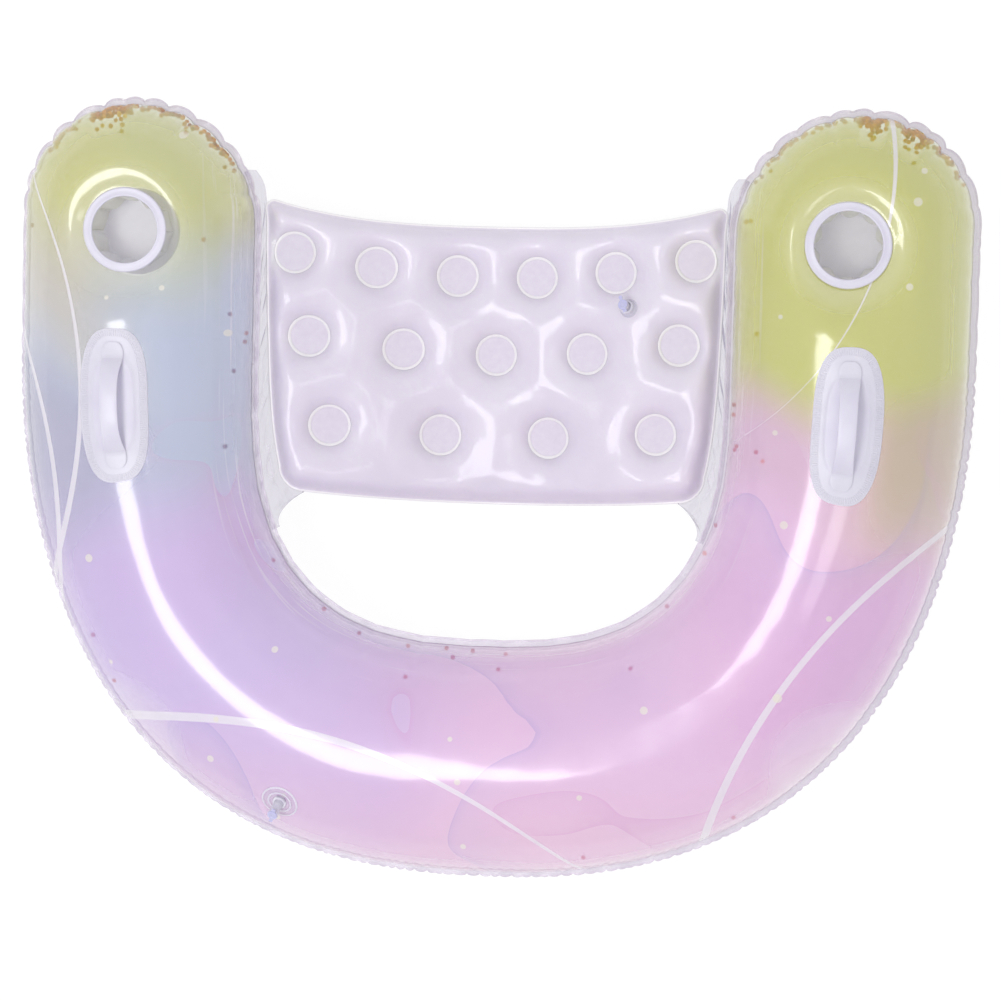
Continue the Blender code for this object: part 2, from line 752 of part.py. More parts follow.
def cup_wall(name, frame):
    """Panels meet in upright creases, and each is pushed inwards by the air round it."""
    levels = (0.0, 0.10, 0.30, 0.55, 0.80, 1.0)
    depth = CUP_DEPTH - GAP
    rings = []
    for grow in (CUP_WALL, 0.0):
        for level in levels:
            spread = smooth(level / 0.30)
            bulge = CUP_WALL_BULGE * math.sin(math.pi * level) ** 0.8 if 0.0 < level < 1.0 else 0.0
            ring = []
            for k in range(CUP_STEPS):
                angle = 2 * math.pi * k / CUP_STEPS
                in_panel = abs(math.sin(CUP_PANELS * angle / 2))
                flat = CUP_BODY_RADIUS * (1.0 - in_panel * (1.0 - math.cos(math.pi / CUP_PANELS)))
                body = flat - bulge * in_panel
                radius = cup_neck() + (body - cup_neck()) * spread + grow
                ring.append((radius * math.cos(angle), radius * math.sin(angle), -depth * level))
            rings.append(ring)
    count = len(levels)
    order = list(range(count)) + list(range(2 * count - 1, count - 1, -1))
    points = [p for i in order for p in rings[i]]
    faces = []
    for i in range(len(order)):
        j = (i + 1) % len(order)
        for k in range(CUP_STEPS):
            n = (k + 1) % CUP_STEPS
            faces.append([i * CUP_STEPS + k, i * CUP_STEPS + n, j * CUP_STEPS + n, j * CUP_STEPS + k])
    add_object(name, mesh_from(points, faces), WHITE_VINYL, frame)


def cup_rim(name, frame):
    """Flat ring welded over the wall's top edge and the film round it."""
    inner = CUP_MOUTH / 2
    outer = inner + CUP_RIM_WIDTH
    low = GAP
    high = GAP + CUP_RIM_HEIGHT
    round_in = CUP_RIM_HEIGHT / 2
    profile = [
        (inner + round_in / 2, low), (inner, low + round_in), (inner + round_in, high),
        (outer - 2 * round_in, high), (outer, low + round_in / 2), (outer, low),
    ]
    add_object(name, turned(profile, CUP_STEPS), WHITE_VINYL, frame)


def cup_floor(name, frame):
    """Disc under the wall: the raised face that a cup stands on, and round it the weld flange."""
    outer = CUP_BODY_RADIUS + CUP_WALL + CUP_FLOOR_LIP
    rest = CUP_BODY_RADIUS * math.cos(math.pi / CUP_PANELS) - CUP_WALL_BULGE / 2
    flange = -CUP_DEPTH - GAP
    stand = flange + CUP_FLOOR_RISE
    low = flange - CUP_WALL
    profile = [
        (0.0, low), (outer, low), (outer, flange),
        (rest, flange), (rest - CUP_FLOOR_RISE, stand), (0.0, stand),
    ]
    add_object(name, turned(profile, CUP_STEPS), WHITE_VINYL, frame)


def cups():
    for side, sign in (("left", -1), ("right", 1)):
        frame = Matrix.Translation((sign * CUP_X, CUP_Y, CUP_LAND_Z))
        cup_rim(side + "_cup_rim", frame)
        cup_wall(side + "_cup_wall", frame)
        cup_floor(side + "_cup_floor", frame)


# Handles

def handle_place(sign, along, across):
    """Plan point of a handle, from its centre along the arm and across it."""
    s = HANDLE_FROM_FRONT - ARM_HALF - along
    point, normal = line_at(s)
    at = point + normal * across
    return sign * at.x, at.y


def handle_base_top(x, y):
    return tube_top(x, y) + GAP + HANDLE_BASE + HANDLE_PAD


def handle_base(name, sign):
    """Oval patch welded round its edge, thicker inside the weld band."""
    sides = 28
    inner_share = 1.0 - HANDLE_WELD_BAND / (HANDLE_BASE_WIDTH / 2)
    rows = ((0.5 * inner_share, HANDLE_PAD), (inner_share, HANDLE_PAD), (inner_share + 0.04, 0.0), (1.0, 0.0))

    def skin(rise, padded):
        centre = handle_place(sign, 0.0, 0.0)
        points = [(*centre, tube_top(*centre) + rise + (HANDLE_PAD if padded else 0.0))]
        for share, pad in rows:
            for k in range(sides):
                angle = 2 * math.pi * k / sides
                along = share * HANDLE_BASE_LENGTH / 2 * math.cos(angle)
                across = share * HANDLE_BASE_WIDTH / 2 * math.sin(angle)
                at = handle_place(sign, along, across)
                points.append((*at, tube_top(*at) + rise + (pad if padded else 0.0)))
        return points

    faces = [[0, 1 + k, 1 + (k + 1) % sides] for k in range(sides)]
    for row in range(len(rows) - 1):
        for k in range(sides):
            n = (k + 1) % sides
            a = 1 + row * sides
            faces.append([a + k, a + sides + k, a + sides + n, a + n])
    rim = [1 + (len(rows) - 1) * sides + k for k in range(sides)]
    bm = film_mesh(skin(GAP + HANDLE_BASE, True), skin(GAP, False), faces, rim)
    add_object(name, bm, WHITE_VINYL)


def handle_grip(name, sign):
    """Strap whose flat ends are welded to the patch, arched for the fingers between them."""
    half = GRIP_LENGTH / 2
    arch = half - GRIP_END_LENGTH
    stations = [-half, -half + 0.3 * GRIP_END_LENGTH]
    stations += [arch * math.sin(math.radians(a)) for a in range(-90, 91, 15)]
    stations += [half - 0.3 * GRIP_END_LENGTH, half]
    section = (
        (-0.5, 0.3), (-0.36, 0.0), (0.36, 0.0), (0.5, 0.3),
        (0.5, 0.7), (0.3, 1.0), (-0.3, 1.0), (-0.5, 0.7),
    )
    points = []
    for along in stations:
        share = min(abs(along) / arch, 1.0)
        lift = GRIP_RISE * (1.0 - share ** 2.2)
        width = GRIP_WIDTH + (GRIP_END_WIDTH - GRIP_WIDTH) * smooth((abs(along) / half - 0.55) / 0.35)
        if abs(along) == half:
            width *= 0.7
        for across, up in section:
            at = handle_place(sign, along, across * width)
            points.append((*at, handle_base_top(*at) + GAP + lift + up * GRIP_THICKNESS))
    sides = len(section)
    faces = [list(range(sides)), list(range(len(points) - sides, len(points)))]
    for i in range(len(stations) - 1):
        for k in range(sides):
            n = (k + 1) % sides
            a = i * sides
            faces.append([a + k, a + n, a + sides + n, a + sides + k])
    add_object(name, mesh_from(points, faces), WHITE_VINYL)


def handles():
    for side, sign in (("left", -1), ("right", 1)):
        handle_base(side + "_handle_base", sign)
        handle_grip(side + "_handle_grip", sign)


# Valves: a welded flange, a stem that pushes in, a stopper on a strap and a check flap

def surface_frame(surface, x, y, heading):
    """Frame on a surface: Z is its normal, and X runs along the plan heading as nearly as it can."""
    slope_x = (surface(x + SLOPE_SPAN, y) - surface(x - SLOPE_SPAN, y)) / (2 * SLOPE_SPAN)
    slope_y = (surface(x, y + SLOPE_SPAN) - surface(x, y - SLOPE_SPAN)) / (2 * SLOPE_SPAN)
    normal = Vector((-slope_x, -slope_y, 1.0)).normalized()
    along = Vector((heading[0], heading[1], 0.0))
    along = (along - normal * along.dot(normal)).normalized()
    side = normal.cross(along)
    frame = Matrix((along, side, normal)).transposed().to_4x4()
    frame.translation = (x, y, surface(x, y))
    return frame


def tube_valve_frame():
    s = LINE_LENGTH / 2 + TUBE_VALVE_ALONG
    point, normal = line_at(s)
    at = point + normal * TUBE_VALVE_OUT
    return surface_frame(tube_top, at.x, at.y, normal)


def seat_valve_frame():
    return surface_frame(seat_top, SEAT_VALVE_X, SEAT_FRONT_Y - SEAT_VALVE_BEHIND_FRONT, (-0.5, 1.0))


def valve_flange(name, frame, surface, diameter):
    """Soft disc welded down on the film, with a collar that the stem slides in."""
    bore = STEM_RADIUS + STEM_CLEARANCE
    collar = bore + COLLAR_WALL
    edge = diameter / 2
    middle = (collar + edge) / 2
    rows = (
        (bore, 0.0), (bore, COLLAR_HEIGHT), (collar - VALVE_EDGE, COLLAR_HEIGHT), (collar, FLANGE),
        (middle, FLANGE), (edge - VALVE_EDGE, FLANGE), (edge, FLANGE / 2), (edge, 0.0), (middle, 0.0),
    )
    normal = frame.col[2].xyz
    steps = 20
    points = []
    for radius, height in rows:
        for k in range(steps):
            angle = 2 * math.pi * k / steps
            at = frame @ Vector((radius * math.cos(angle), radius * math.sin(angle), 0.0))
            if radius > collar:
                at.z = surface(at.x, at.y)
            at += normal * (height + GAP)
            points.append(at)
    faces = []
    for i in range(len(rows)):
        j = (i + 1) % len(rows)
        for k in range(steps):
            n = (k + 1) % steps
            faces.append([i * steps + k, i * steps + n, j * steps + n, j * steps + k])
    add_object(name, mesh_from(points, faces), VALVE_VINYL)


def valve_stem(name, frame, height):
    """Tube with a lip on top and a bead inside the chamber, which stop it at either end."""
    outer = STEM_RADIUS
    lip = STEM_RADIUS + STEM_LIP
    profile = [
        (STEM_BORE, -STEM_TAIL), (STEM_BORE, height), (lip - VALVE_EDGE / 2, height),
        (lip, height - VALVE_EDGE), (lip, height - STEM_LIP_HEIGHT),
        (outer, height - STEM_LIP_HEIGHT - VALVE_EDGE),
        (outer, -STEM_TAIL + STEM_LIP_HEIGHT), (lip, -STEM_TAIL + STEM_LIP_HEIGHT - VALVE_EDGE),
        (lip, -STEM_TAIL),
    ]
    stem = add_object(name, turned(profile, VALVE_STEPS), VALVE_VINYL, frame)
    half = STRAP_WIDTH / 2
    outline = [(-STRAP_REACH, -half), (-STEM_RADIUS, -half), (-STEM_RADIUS, half), (-STRAP_REACH, half)]
    ear = add_object(name + "_ear", plate(outline, height - STEM_LIP_HEIGHT / 2, height), VALVE_VINYL, frame)
    ear.hide_render = True
    ear.display_type = "WIRE"
    boolean(stem, ear, "UNION")


def valve_stopper(name, frame, height):
    """Cap with a tapered nose in the stem's bore, on a strap that folds at the lip's ear."""
    base = height + GAP
    fold = base + STRAP_THICKNESS / 2
    pivot = frame @ Matrix.Translation((-STRAP_REACH, 0.0, fold))
    cap = STEM_RADIUS + STEM_LIP / 2
    under = base - fold
    top = under + CAP_THICKNESS
    nose = STEM_BORE - NOSE_CLEARANCE
    profile = [
        (0.0, under - NOSE_LENGTH), (NOSE_TIP, under - NOSE_LENGTH), (nose, under), (cap, under),
        (cap, top - VALVE_EDGE), (cap - VALVE_EDGE, top), (0.0, top),
    ]
    bm = turned(profile, VALVE_STEPS)
    bmesh.ops.translate(bm, verts=bm.verts, vec=(STRAP_REACH, 0.0, 0.0))
    stopper = add_object(name, bm, STOPPER_VINYL, pivot)
    half = STRAP_WIDTH / 2
    tab_end = STRAP_REACH + PULL_TAB_REACH
    tab_neck = tab_end - PULL_TAB_LENGTH
    tab_corner = tab_end - PULL_TAB_ROUND
    end = STRAP_THICKNESS / 2
    outline = [
        (-end, -half), (STRAP_REACH, -half), (tab_neck, -half * 0.8), (tab_corner, -half * 1.1),
        (tab_end, 0.0), (tab_corner, half * 1.1), (tab_neck, half * 0.8), (STRAP_REACH, half),
        (-end, half),
    ]
    strap = add_object(name + "_strap", plate(outline, under, under + STRAP_THICKNESS), STOPPER_VINYL, pivot)
    strap.hide_render = True
    strap.display_type = "WIRE"
    boolean(stopper, strap, "UNION")


def valve_flap(name, frame):
    """Disc that closes the bore from inside the chamber, folding at one edge."""
    radius = STEM_BORE + FLAP_MARGIN
    reach = radius + FLAP_HINGE_MARGIN
    top = -STEM_TAIL - GAP
    fold = top - FLAP_THICKNESS / 2
    pivot = frame @ Matrix.Translation((-reach, 0.0, fold))
    half = radius * math.sin(math.radians(36))
    outline = [(-FLAP_THICKNESS / 2, half)]
    for angle in range(144, -145, -24):
        turn = math.radians(angle)
        outline.append((reach + radius * math.cos(turn), radius * math.sin(turn)))
    outline.append((-FLAP_THICKNESS / 2, -half))
    bm = plate(outline, -FLAP_THICKNESS / 2, FLAP_THICKNESS / 2)
    add_object(name, bm, STOPPER_VINYL, pivot)


def valves():
    tube = tube_valve_frame()
    valve_flange("tube_valve_flange", tube, tube_top, TUBE_VALVE_FLANGE)
    valve_stem("tube_valve_stem", tube, TUBE_VALVE_STEM)
    valve_stopper("tube_valve_stopper", tube, TUBE_VALVE_STEM)
    valve_flap("tube_valve_flap", tube)
    seat = seat_valve_frame()
    valve_flange("seat_valve_flange", seat, seat_top, SEAT_VALVE_FLANGE)
    valve_stem("seat_valve_stem", seat, SEAT_VALVE_STEM)
    valve_stopper("seat_valve_stopper", seat, SEAT_VALVE_STEM)
    valve_flap("seat_valve_flap", seat)


def build():
    for obj in list(bpy.data.objects):
        bpy.data.objects.remove(obj)
    tube_top_panel()
    tube_bottom_panel()
    seat_panels()
    seat_webs()
    cups()
    handles()
    valves()


build()
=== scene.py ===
import json
import math
from functools import partial

import bmesh
import bpy
import numpy as np
from mathutils import Matrix, Vector
from mathutils.geometry import delaunay_2d_cdt


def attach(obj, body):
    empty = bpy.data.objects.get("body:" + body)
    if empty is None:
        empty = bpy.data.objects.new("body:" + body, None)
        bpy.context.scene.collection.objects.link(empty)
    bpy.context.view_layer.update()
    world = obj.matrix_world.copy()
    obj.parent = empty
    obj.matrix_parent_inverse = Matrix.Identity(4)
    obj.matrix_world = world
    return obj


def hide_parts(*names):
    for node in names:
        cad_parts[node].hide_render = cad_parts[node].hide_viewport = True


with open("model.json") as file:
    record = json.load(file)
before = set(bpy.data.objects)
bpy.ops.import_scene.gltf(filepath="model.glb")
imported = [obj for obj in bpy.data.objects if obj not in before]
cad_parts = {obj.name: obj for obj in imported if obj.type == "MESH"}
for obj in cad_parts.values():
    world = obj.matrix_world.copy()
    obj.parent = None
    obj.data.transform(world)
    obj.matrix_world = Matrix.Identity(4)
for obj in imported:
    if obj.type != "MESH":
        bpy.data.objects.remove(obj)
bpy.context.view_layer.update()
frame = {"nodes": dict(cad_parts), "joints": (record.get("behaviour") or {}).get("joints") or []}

# Tube, upper panel.
# The top half of the air tube that makes both arms and the backrest: one sheet of soft PVC film, gravure
# printed in translucent inks and welded to the lower panel round its whole outline. The sheet is cut flat,
# so once the tube is blown up its edge gathers into scallops and short creases at every tight curve.

film = 0.0004                 # thickness of every inflated panel
film_gap = 0.0003             # between pieces that touch
weld_lip = 0.009              # width of the welded edge
arm_x = 0.456                 # arm centreline from the middle
arm_end_y = 0.3385            # centre of the arms' round ends
arm_half = 0.157              # half the tube's width over its lips, on the arms
back_half = 0.1535            # and at the backrest
back_line_y = -0.342
bend_y = 0.174                # where the arms' straight part ends
bend_length = 0.516
bend_fullness = 2.5
bend_waist = 0.004
arm_end_lean = 0.0045
seam_z = 0.134
crown = 0.140                 # of the top panel above the seam
foot_half = 0.038             # half the width that is pressed flat on the ground
cup_x, cup_y, cup_z = 0.449, 0.322, 0.252
cup_land_radius = 0.053
cup_land_blend = 0.063
station_count = 980
end_spokes = 210


def smooth(t):
    t = np.clip(t, 0.0, 1.0)
    return t * t * (3.0 - 2.0 * t)


turn = np.linspace(0.0, math.pi, 6000)
bend_power = 2.0 / bend_fullness
line_x = arm_x * np.sign(np.cos(turn)) * np.abs(np.cos(turn)) ** bend_power
line_y = bend_y - bend_length * np.abs(np.sin(turn)) ** bend_power
line_x = np.concatenate(([arm_x], line_x, [-arm_x]))
line_y = np.concatenate(([arm_end_y], line_y, [arm_end_y]))
travelled = np.concatenate(([0.0], np.cumsum(np.hypot(np.diff(line_x), np.diff(line_y)))))
line_s = np.linspace(0.0, travelled[-1], 6000)
line_x = np.interp(line_s, travelled, line_x)
line_y = np.interp(line_s, travelled, line_y)
line_end = line_s[-1]
run_x = np.gradient(line_x, line_s)
run_y = np.gradient(line_y, line_s)
run_size = np.hypot(run_x, run_y)
out_x = -run_y / run_size     # outward normal of the centreline
out_y = run_x / run_size


def half_width(y):
    share = np.clip((y - back_line_y) / bend_length, 0.0, 1.0)
    return back_half + (arm_half - back_half) * smooth(share) - bend_waist * np.sin(math.pi * share) ** 2


def line_at(s):
    """Centreline point and its outward normal, for one distance or many."""
    return tuple(np.interp(s, line_s, table) for table in (line_x, line_y, out_x, out_y))


# Spokes run from the centreline to the lip, anticlockwise round the whole outline.
stations = np.linspace(0.0, line_end, station_count)
st_x, st_y, st_nx, st_ny = line_at(stations)
end_turn = np.linspace(0.0, math.pi, end_spokes)
inner_k = np.arange(1, station_count - 1)
outer_k = inner_k[::-1]
spoke_k = np.concatenate((
    np.zeros(end_spokes, int), inner_k, np.full(end_spokes, station_count - 1), outer_k,
))
spoke_dx = np.concatenate((np.cos(end_turn), -st_nx[inner_k], np.cos(end_turn), st_nx[outer_k]))
spoke_dy = np.concatenate((np.sin(end_turn), -st_ny[inner_k], np.sin(end_turn), st_ny[outer_k]))
spoke_half = np.concatenate((
    arm_half + arm_end_lean * np.sin(2 * end_turn), half_width(st_y[inner_k]),
    arm_half + arm_end_lean * np.sin(2 * (math.pi - end_turn)), half_width(st_y[outer_k]),
))
spoke_x, spoke_y = st_x[spoke_k], st_y[spoke_k]
spoke_out = np.concatenate((
    np.cos(end_turn), np.full(len(inner_k), -1.0), -np.cos(end_turn), np.ones(len(outer_k)),
))                            # 1 on the side away from the seat, -1 beside it
spoke_past = np.concatenate((
    -np.sin(end_turn), np.zeros(len(inner_k)), np.sin(end_turn), np.zeros(len(outer_k)),
))
spoke_count = len(spoke_k)
edge_x = spoke_x + spoke_dx * spoke_half
edge_y = spoke_y + spoke_dy * spoke_half
edge_step = np.hypot(np.roll(edge_x, -1) - edge_x, np.roll(edge_y, -1) - edge_y)
edge_d = np.concatenate(([0.0], np.cumsum(edge_step)[:-1]))
outline_length = edge_step.sum()

# Gathers: long scallops round the arm ends, fine ones round the bend, hardly any beside the seat.
at_end = np.concatenate((
    np.sin(end_turn) ** 0.35, np.zeros(len(inner_k)), np.sin(end_turn) ** 0.35, np.zeros(len(outer_k)),
))
outside = np.clip(spoke_out, 0.0, 1.0)
round_bend = outside * smooth((bend_y + 0.10 - spoke_y) / 0.16) * (1.0 - at_end)
gather_length = 0.052 + (0.037 - 0.052) * at_end + (0.0135 - 0.052) * round_bend
gather_depth = 0.0009 + 0.0036 * at_end + 0.0011 * round_bend
dice = np.random.default_rng(11)
cusps = [0.0]
while cusps[-1] < outline_length - 0.04:
    cusps.append(cusps[-1] + np.interp(cusps[-1], edge_d, gather_length) * dice.uniform(0.7, 1.3))
cusps = np.array(cusps + [outline_length])
cusp_depth = np.interp(cusps, edge_d, gather_depth) * dice.uniform(0.5, 1.35, len(cusps))
cusp_reach = (0.010 + 0.75 * np.interp(cusps, edge_d, gather_length)) * dice.uniform(0.6, 1.4, len(cusps))
cusp_depth[-1], cusp_reach[-1] = cusp_depth[0], cusp_reach[0]
cell = np.clip(np.searchsorted(cusps, edge_d, side="right") - 1, 0, len(cusps) - 2)
in_cell = (edge_d - cusps[cell]) / (cusps[cell + 1] - cusps[cell])
nearer = cell + (in_cell > 0.5)
scallop = 1.0 - np.sin(math.pi * np.clip(in_cell, 0.0, 1.0)) ** 0.6
gather_in = scallop * (cusp_depth[cell] + (cusp_depth[cell + 1] - cusp_depth[cell]) * in_cell)
gather_reach = cusp_reach[nearer]
to_cusp = np.minimum(edge_d - cusps[cell], cusps[cell + 1] - edge_d)
crease_in = 0.55 * cusp_depth[nearer] * np.exp(-(to_cusp / 0.0035) ** 2)
arc_radius = 0.144            # of the tube's section, near enough for distances on the film

# Where the loose flakes gather at the arms' ends: a row along the seam at the top, and in deeper heaps, one
# on the left arm and two on the right. A few more lie in bunches beside the seat.
at_top = smooth((spoke_dy - 0.38) / 0.25) * (at_end > 0.0)
on_right = spoke_x > 0.0
heap = np.where(on_right, np.maximum(
    smooth(1.9 - np.abs(spoke_dx - 0.14) / 0.09), smooth(1.9 - np.abs(spoke_dx - 0.50) / 0.08)),
    smooth(2.0 - np.abs(spoke_dx + 0.22) / 0.11))
seam_row = 0.45 + 0.55 * np.where(on_right, smooth(spoke_dx / 0.2), smooth((spoke_dx + 0.5) / 0.3))
bunch = 0.5 + 0.5 * np.sin(edge_d * 2 * math.pi / 0.137 + 1.3) * np.sin(edge_d * 2 * math.pi / 0.071)

handle_s = 0.3925 - arm_half  # handle centre along the centreline
valve_s = line_end / 2 + 0.212
valve_out = 0.085
true_cup, true_handle, true_valve = 0.056, (0.108, 0.053), 0.030    # where the film lies true round each
true_fade = 0.03


def calm(x, y, s, across):
    """0 under the welded patches, where the film lies true, and 1 well away from them."""
    cup_away = np.hypot(np.abs(x) - cup_x, y - cup_y)
    mask = smooth((cup_away - true_cup) / true_fade)
    for centre in (handle_s, line_end - handle_s):
        handle_away = np.hypot((s - centre) / true_handle[0], across / true_handle[1])
        mask = mask * smooth((handle_away - 1.0) / 0.35)
    return mask * smooth((np.hypot(s - valve_s, across - valve_out) - true_valve) / true_fade)


def slack(u, v):
    """Broad unevenness of blown-up film, by distance along the tube and round its section."""
    swell = 0.0
    for along, around, height, shift in (
        (0.290, 0.210, 0.00030, 0.4), (0.171, 0.130, 0.00014, 1.9), (0.061, 0.190, 0.00005, 2.7),
    ):
        swell = swell + height * np.sin(
            2 * math.pi * u / along + shift + 1.6 * np.sin(2 * math.pi * v / around + shift))
    return swell


def cup_landing(x, y, z):
    """Draw the crown down to each cup's ring: flat under it, steep beside it, easing out to the crest."""
    away = np.hypot(np.abs(x) - cup_x, y - cup_y)
    share = np.clip((away - cup_land_radius) / cup_land_blend, 0.0, 1.0)
    share = 1.08 * share ** 2 / (share + 0.08)
    return z + (cup_z - z) * (1.0 - share) ** 2


def gathered(angles, row, reach):
    """Share of the flakes at every spoke and angle: a row along the seam, and heaps that reach further."""
    from_seam = arc_radius * np.radians(np.array(angles))[None, :]
    heaps = heap[:, None] * np.exp(-(from_seam / reach) ** 4)
    return at_top[:, None] * np.maximum(seam_row[:, None] * np.exp(-(from_seam / row) ** 2), heaps)


def tube_skin(angles, upper):
    """Points, and distances on the film, of every spoke at these angles from the seam plane."""
    angle = np.radians(np.array(angles))[None, :]
    chamber = (spoke_half - weld_lip)[:, None]
    from_seam = arc_radius * angle
    fade = np.exp(-(from_seam / gather_reach[:, None]) ** 1.5)
    deep = np.exp(-(from_seam / (1.9 * gather_reach[:, None])) ** 2)
    share = np.cos(angle)
    pull = gather_in[:, None] * fade + crease_in[:, None] * deep * np.sin(np.clip(14.0 * angle, 0.0, 1.57))
    radial = chamber * share - pull
    x = spoke_x[:, None] + spoke_dx[:, None] * radial
    y = spoke_y[:, None] + spoke_dy[:, None] * radial
    arc = arc_radius * (math.pi / 2 - angle)
    u = stations[spoke_k][:, None] + spoke_past[:, None] * arc
    v = spoke_out[:, None] * arc
    if upper:
        z = cup_landing(x, y, seam_z + crown * np.sin(angle))
    else:
        foot = foot_half / chamber
        belly = (seam_z - film) / np.sqrt(1.0 - foot ** 2)
        z = np.maximum(seam_z - belly * np.sin(angle), film)
    rise = np.sin(angle) / crown
    lean = share / chamber
    size = np.hypot(rise, lean)
    swell = slack(u, v) * calm(x, y, stations[spoke_k][:, None], spoke_out[:, None] * arc)
    swell = swell * smooth(angle / 0.25) * (1.0 if upper else smooth((z - 0.004) / 0.03))
    x = x + spoke_dx[:, None] * lean / size * swell
    y = y + spoke_dy[:, None] * lean / size * swell
    z = z + rise / size * swell * (1.0 if upper else -1.0)
    return np.stack((x, y, z), axis=-1), np.stack(np.broadcast_arrays(u, v), axis=-1)


def tube_sheet(angles, upper):
    """One panel of the tube, from its crest or its foot out to the seam."""
    rows = len(angles)
    skin, spread = tube_skin(angles, upper)
    top_u = stations
    u_zero = np.stack((top_u, np.zeros(station_count)), axis=-1)
    if upper:
        z = cup_landing(st_x, st_y, np.full(station_count, seam_z + crown))
        z = z + slack(top_u, 0.0) * calm(st_x, st_y, stations, 0.0)
    else:
        z = np.full(station_count, film)
    middle = np.stack((st_x, st_y, z), axis=-1)
    points = np.concatenate((middle, skin.reshape(-1, 3)))
    uv = np.concatenate((u_zero, spread.reshape(-1, 2)))
    faces = []
    for i in range(spoke_count):
        j = (i + 1) % spoke_count
        a = station_count + i * rows
        b = station_count + j * rows
        ends = (spoke_k[i], spoke_k[j])
        faces.append((ends[0], a, b) if ends[0] == ends[1] else (ends[0], a, b, ends[1]))
        faces.extend((a + r, a + r + 1, b + r + 1, b + r) for r in range(rows - 1))
    return points, uv, (faces if upper else [face[::-1] for face in faces])


def on_film(x, y):
    """Height of the upper film at plan points, and each point's distances along and across the film."""
    nearest = np.array([np.argmin((line_x - px) ** 2 + (line_y - py) ** 2) for px, py in zip(x, y)])
    away_x, away_y = x - line_x[nearest], y - line_y[nearest]
    away = np.maximum(np.hypot(away_x, away_y), 1e-6)
    out = (away_x * out_x[nearest] + away_y * out_y[nearest]) / away
    past = np.abs(away_x * out_y[nearest] - away_y * out_x[nearest]) / away
    half = half_width(line_y[nearest]) + arm_end_lean * 2.0 * past * out
    share = np.clip(away / (half - weld_lip), 0.0, 1.0)
    arc = arc_radius * np.arcsin(share)
    s = line_s[nearest]
    u = s + np.where(s < line_end / 2, -1.0, 1.0) * past * arc
    v = out * arc
    z = cup_landing(x, y, seam_z + crown * np.sqrt(1.0 - share ** 2))
    return z + slack(u, v) * calm(x, y, s, v), u, v


def open_hole(points, uv, faces, x, y, sizes):
    """Cut a true round hole: rings of these radii replace the film's faces around it."""
    near = np.hypot(points[:, 0] - x, points[:, 1] - y) < sizes[-1] + 0.003
    kept = [face for face in faces if not any(near[v] for v in face)]
    gone = {edge for face in faces if any(near[v] for v in face) for edge in zip(face, face[1:] + face[:1])}
    border = [(a, b) for a, b in gone if (b, a) not in gone]
    rim = sorted({v for edge in border for v in edge})
    at = {v: i for i, v in enumerate(rim)}
    steps = 132
    spin = 2 * math.pi * np.arange(steps) / steps
    ring_x = np.concatenate([x + size * np.cos(spin) for size in sizes])
    ring_y = np.concatenate([y + size * np.sin(spin) for size in sizes])
    first = len(rim)
    plan = [Vector(points[v][:2]) for v in rim] + [Vector(p) for p in zip(ring_x, ring_y)]
    edges = [(at[a], at[b]) for a, b in border]
    edges += [(first + k, first + (k + 1) % steps) for k in range(steps)]
    cut = delaunay_2d_cdt(plan, edges, [], 1, 1e-7)
    z, u, v = on_film(ring_x, ring_y)
    new_index = {i: rim[i] for i in range(first)}
    new_index.update({first + k: len(points) + k for k in range(len(ring_x))})
    source = [min(olds) for olds in cut[3]]
    for face in cut[2]:
        middle = sum((cut[0][i] for i in face), Vector((0.0, 0.0))) / 3
        if math.hypot(middle.x - x, middle.y - y) > sizes[0]:
            kept.append(tuple(new_index[source[i]] for i in face))
    points = np.concatenate((points, np.stack((ring_x, ring_y, z), axis=1)))
    return points, np.concatenate((uv, np.stack((u, v), axis=1))), kept


def woven(rows, columns, rows_close=True, columns_close=True):
    """Faces of a net of points given row after row; a closed direction joins its last line to its first."""
    down = [(i, (i + 1) % rows) for i in range(rows if rows_close else rows - 1)]
    along = [(k, (k + 1) % columns) for k in range(columns if columns_close else columns - 1)]
    return [(i * columns + k, i * columns + n, j * columns + n, j * columns + k)
            for i, j in down for k, n in along]


def into_scene(name, data):
    made = bpy.data.objects.new(name, data)
    bpy.context.scene.collection.objects.link(made)
    return made


def make_piece(name, points, faces, finish, uv=None):
    """A smooth mesh object at the origin, without loose points."""
    mesh = bpy.data.meshes.new(name)
    mesh.from_pydata([tuple(p) for p in points], [], faces)
    if uv is not None:
        corner = np.zeros(len(mesh.loops), int)
        mesh.loops.foreach_get("vertex_index", corner)
        layer = mesh.uv_layers.new(name="film_metres")
        layer.data.foreach_set("uv", np.asarray(uv)[corner].astype(np.float32).ravel())
    mesh.shade_smooth()
    mesh.materials.append(finish)
    if faces:
        shell = bmesh.new()
        shell.from_mesh(mesh)
        bmesh.ops.delete(shell, geom=[v for v in shell.verts if not v.link_faces], context="VERTS")
        shell.to_mesh(mesh)
        shell.free()
    mesh.update()
    return into_scene(name, mesh)


def film_wall(piece, thickness):
    """Give a sheet its real thickness, on its inner side."""
    wall = piece.modifiers.new("film thickness", "SOLIDIFY")
    wall.thickness = thickness
    wall.offset = -1.0


def add_node(tree, kind, sockets=None, **settings):
    """Add one node, set its fields, and fill its sockets with numbers, or links from sockets or nodes."""
    families = ("ShaderNode", "GeometryNode", "FunctionNode", "")
    node = tree.nodes.new(next(family + kind for family in families if hasattr(bpy.types, family + kind)))
    for field, value in settings.items():
        setattr(node, field, value)
    for socket, value in (sockets or {}).items():
        if isinstance(value, bpy.types.Node):
            value = next(output for output in value.outputs if output.enabled)
        if isinstance(value, bpy.types.NodeSocket):
            tree.links.new(value, node.inputs[socket])
        else:
            node.inputs[socket].default_value = value
    return node


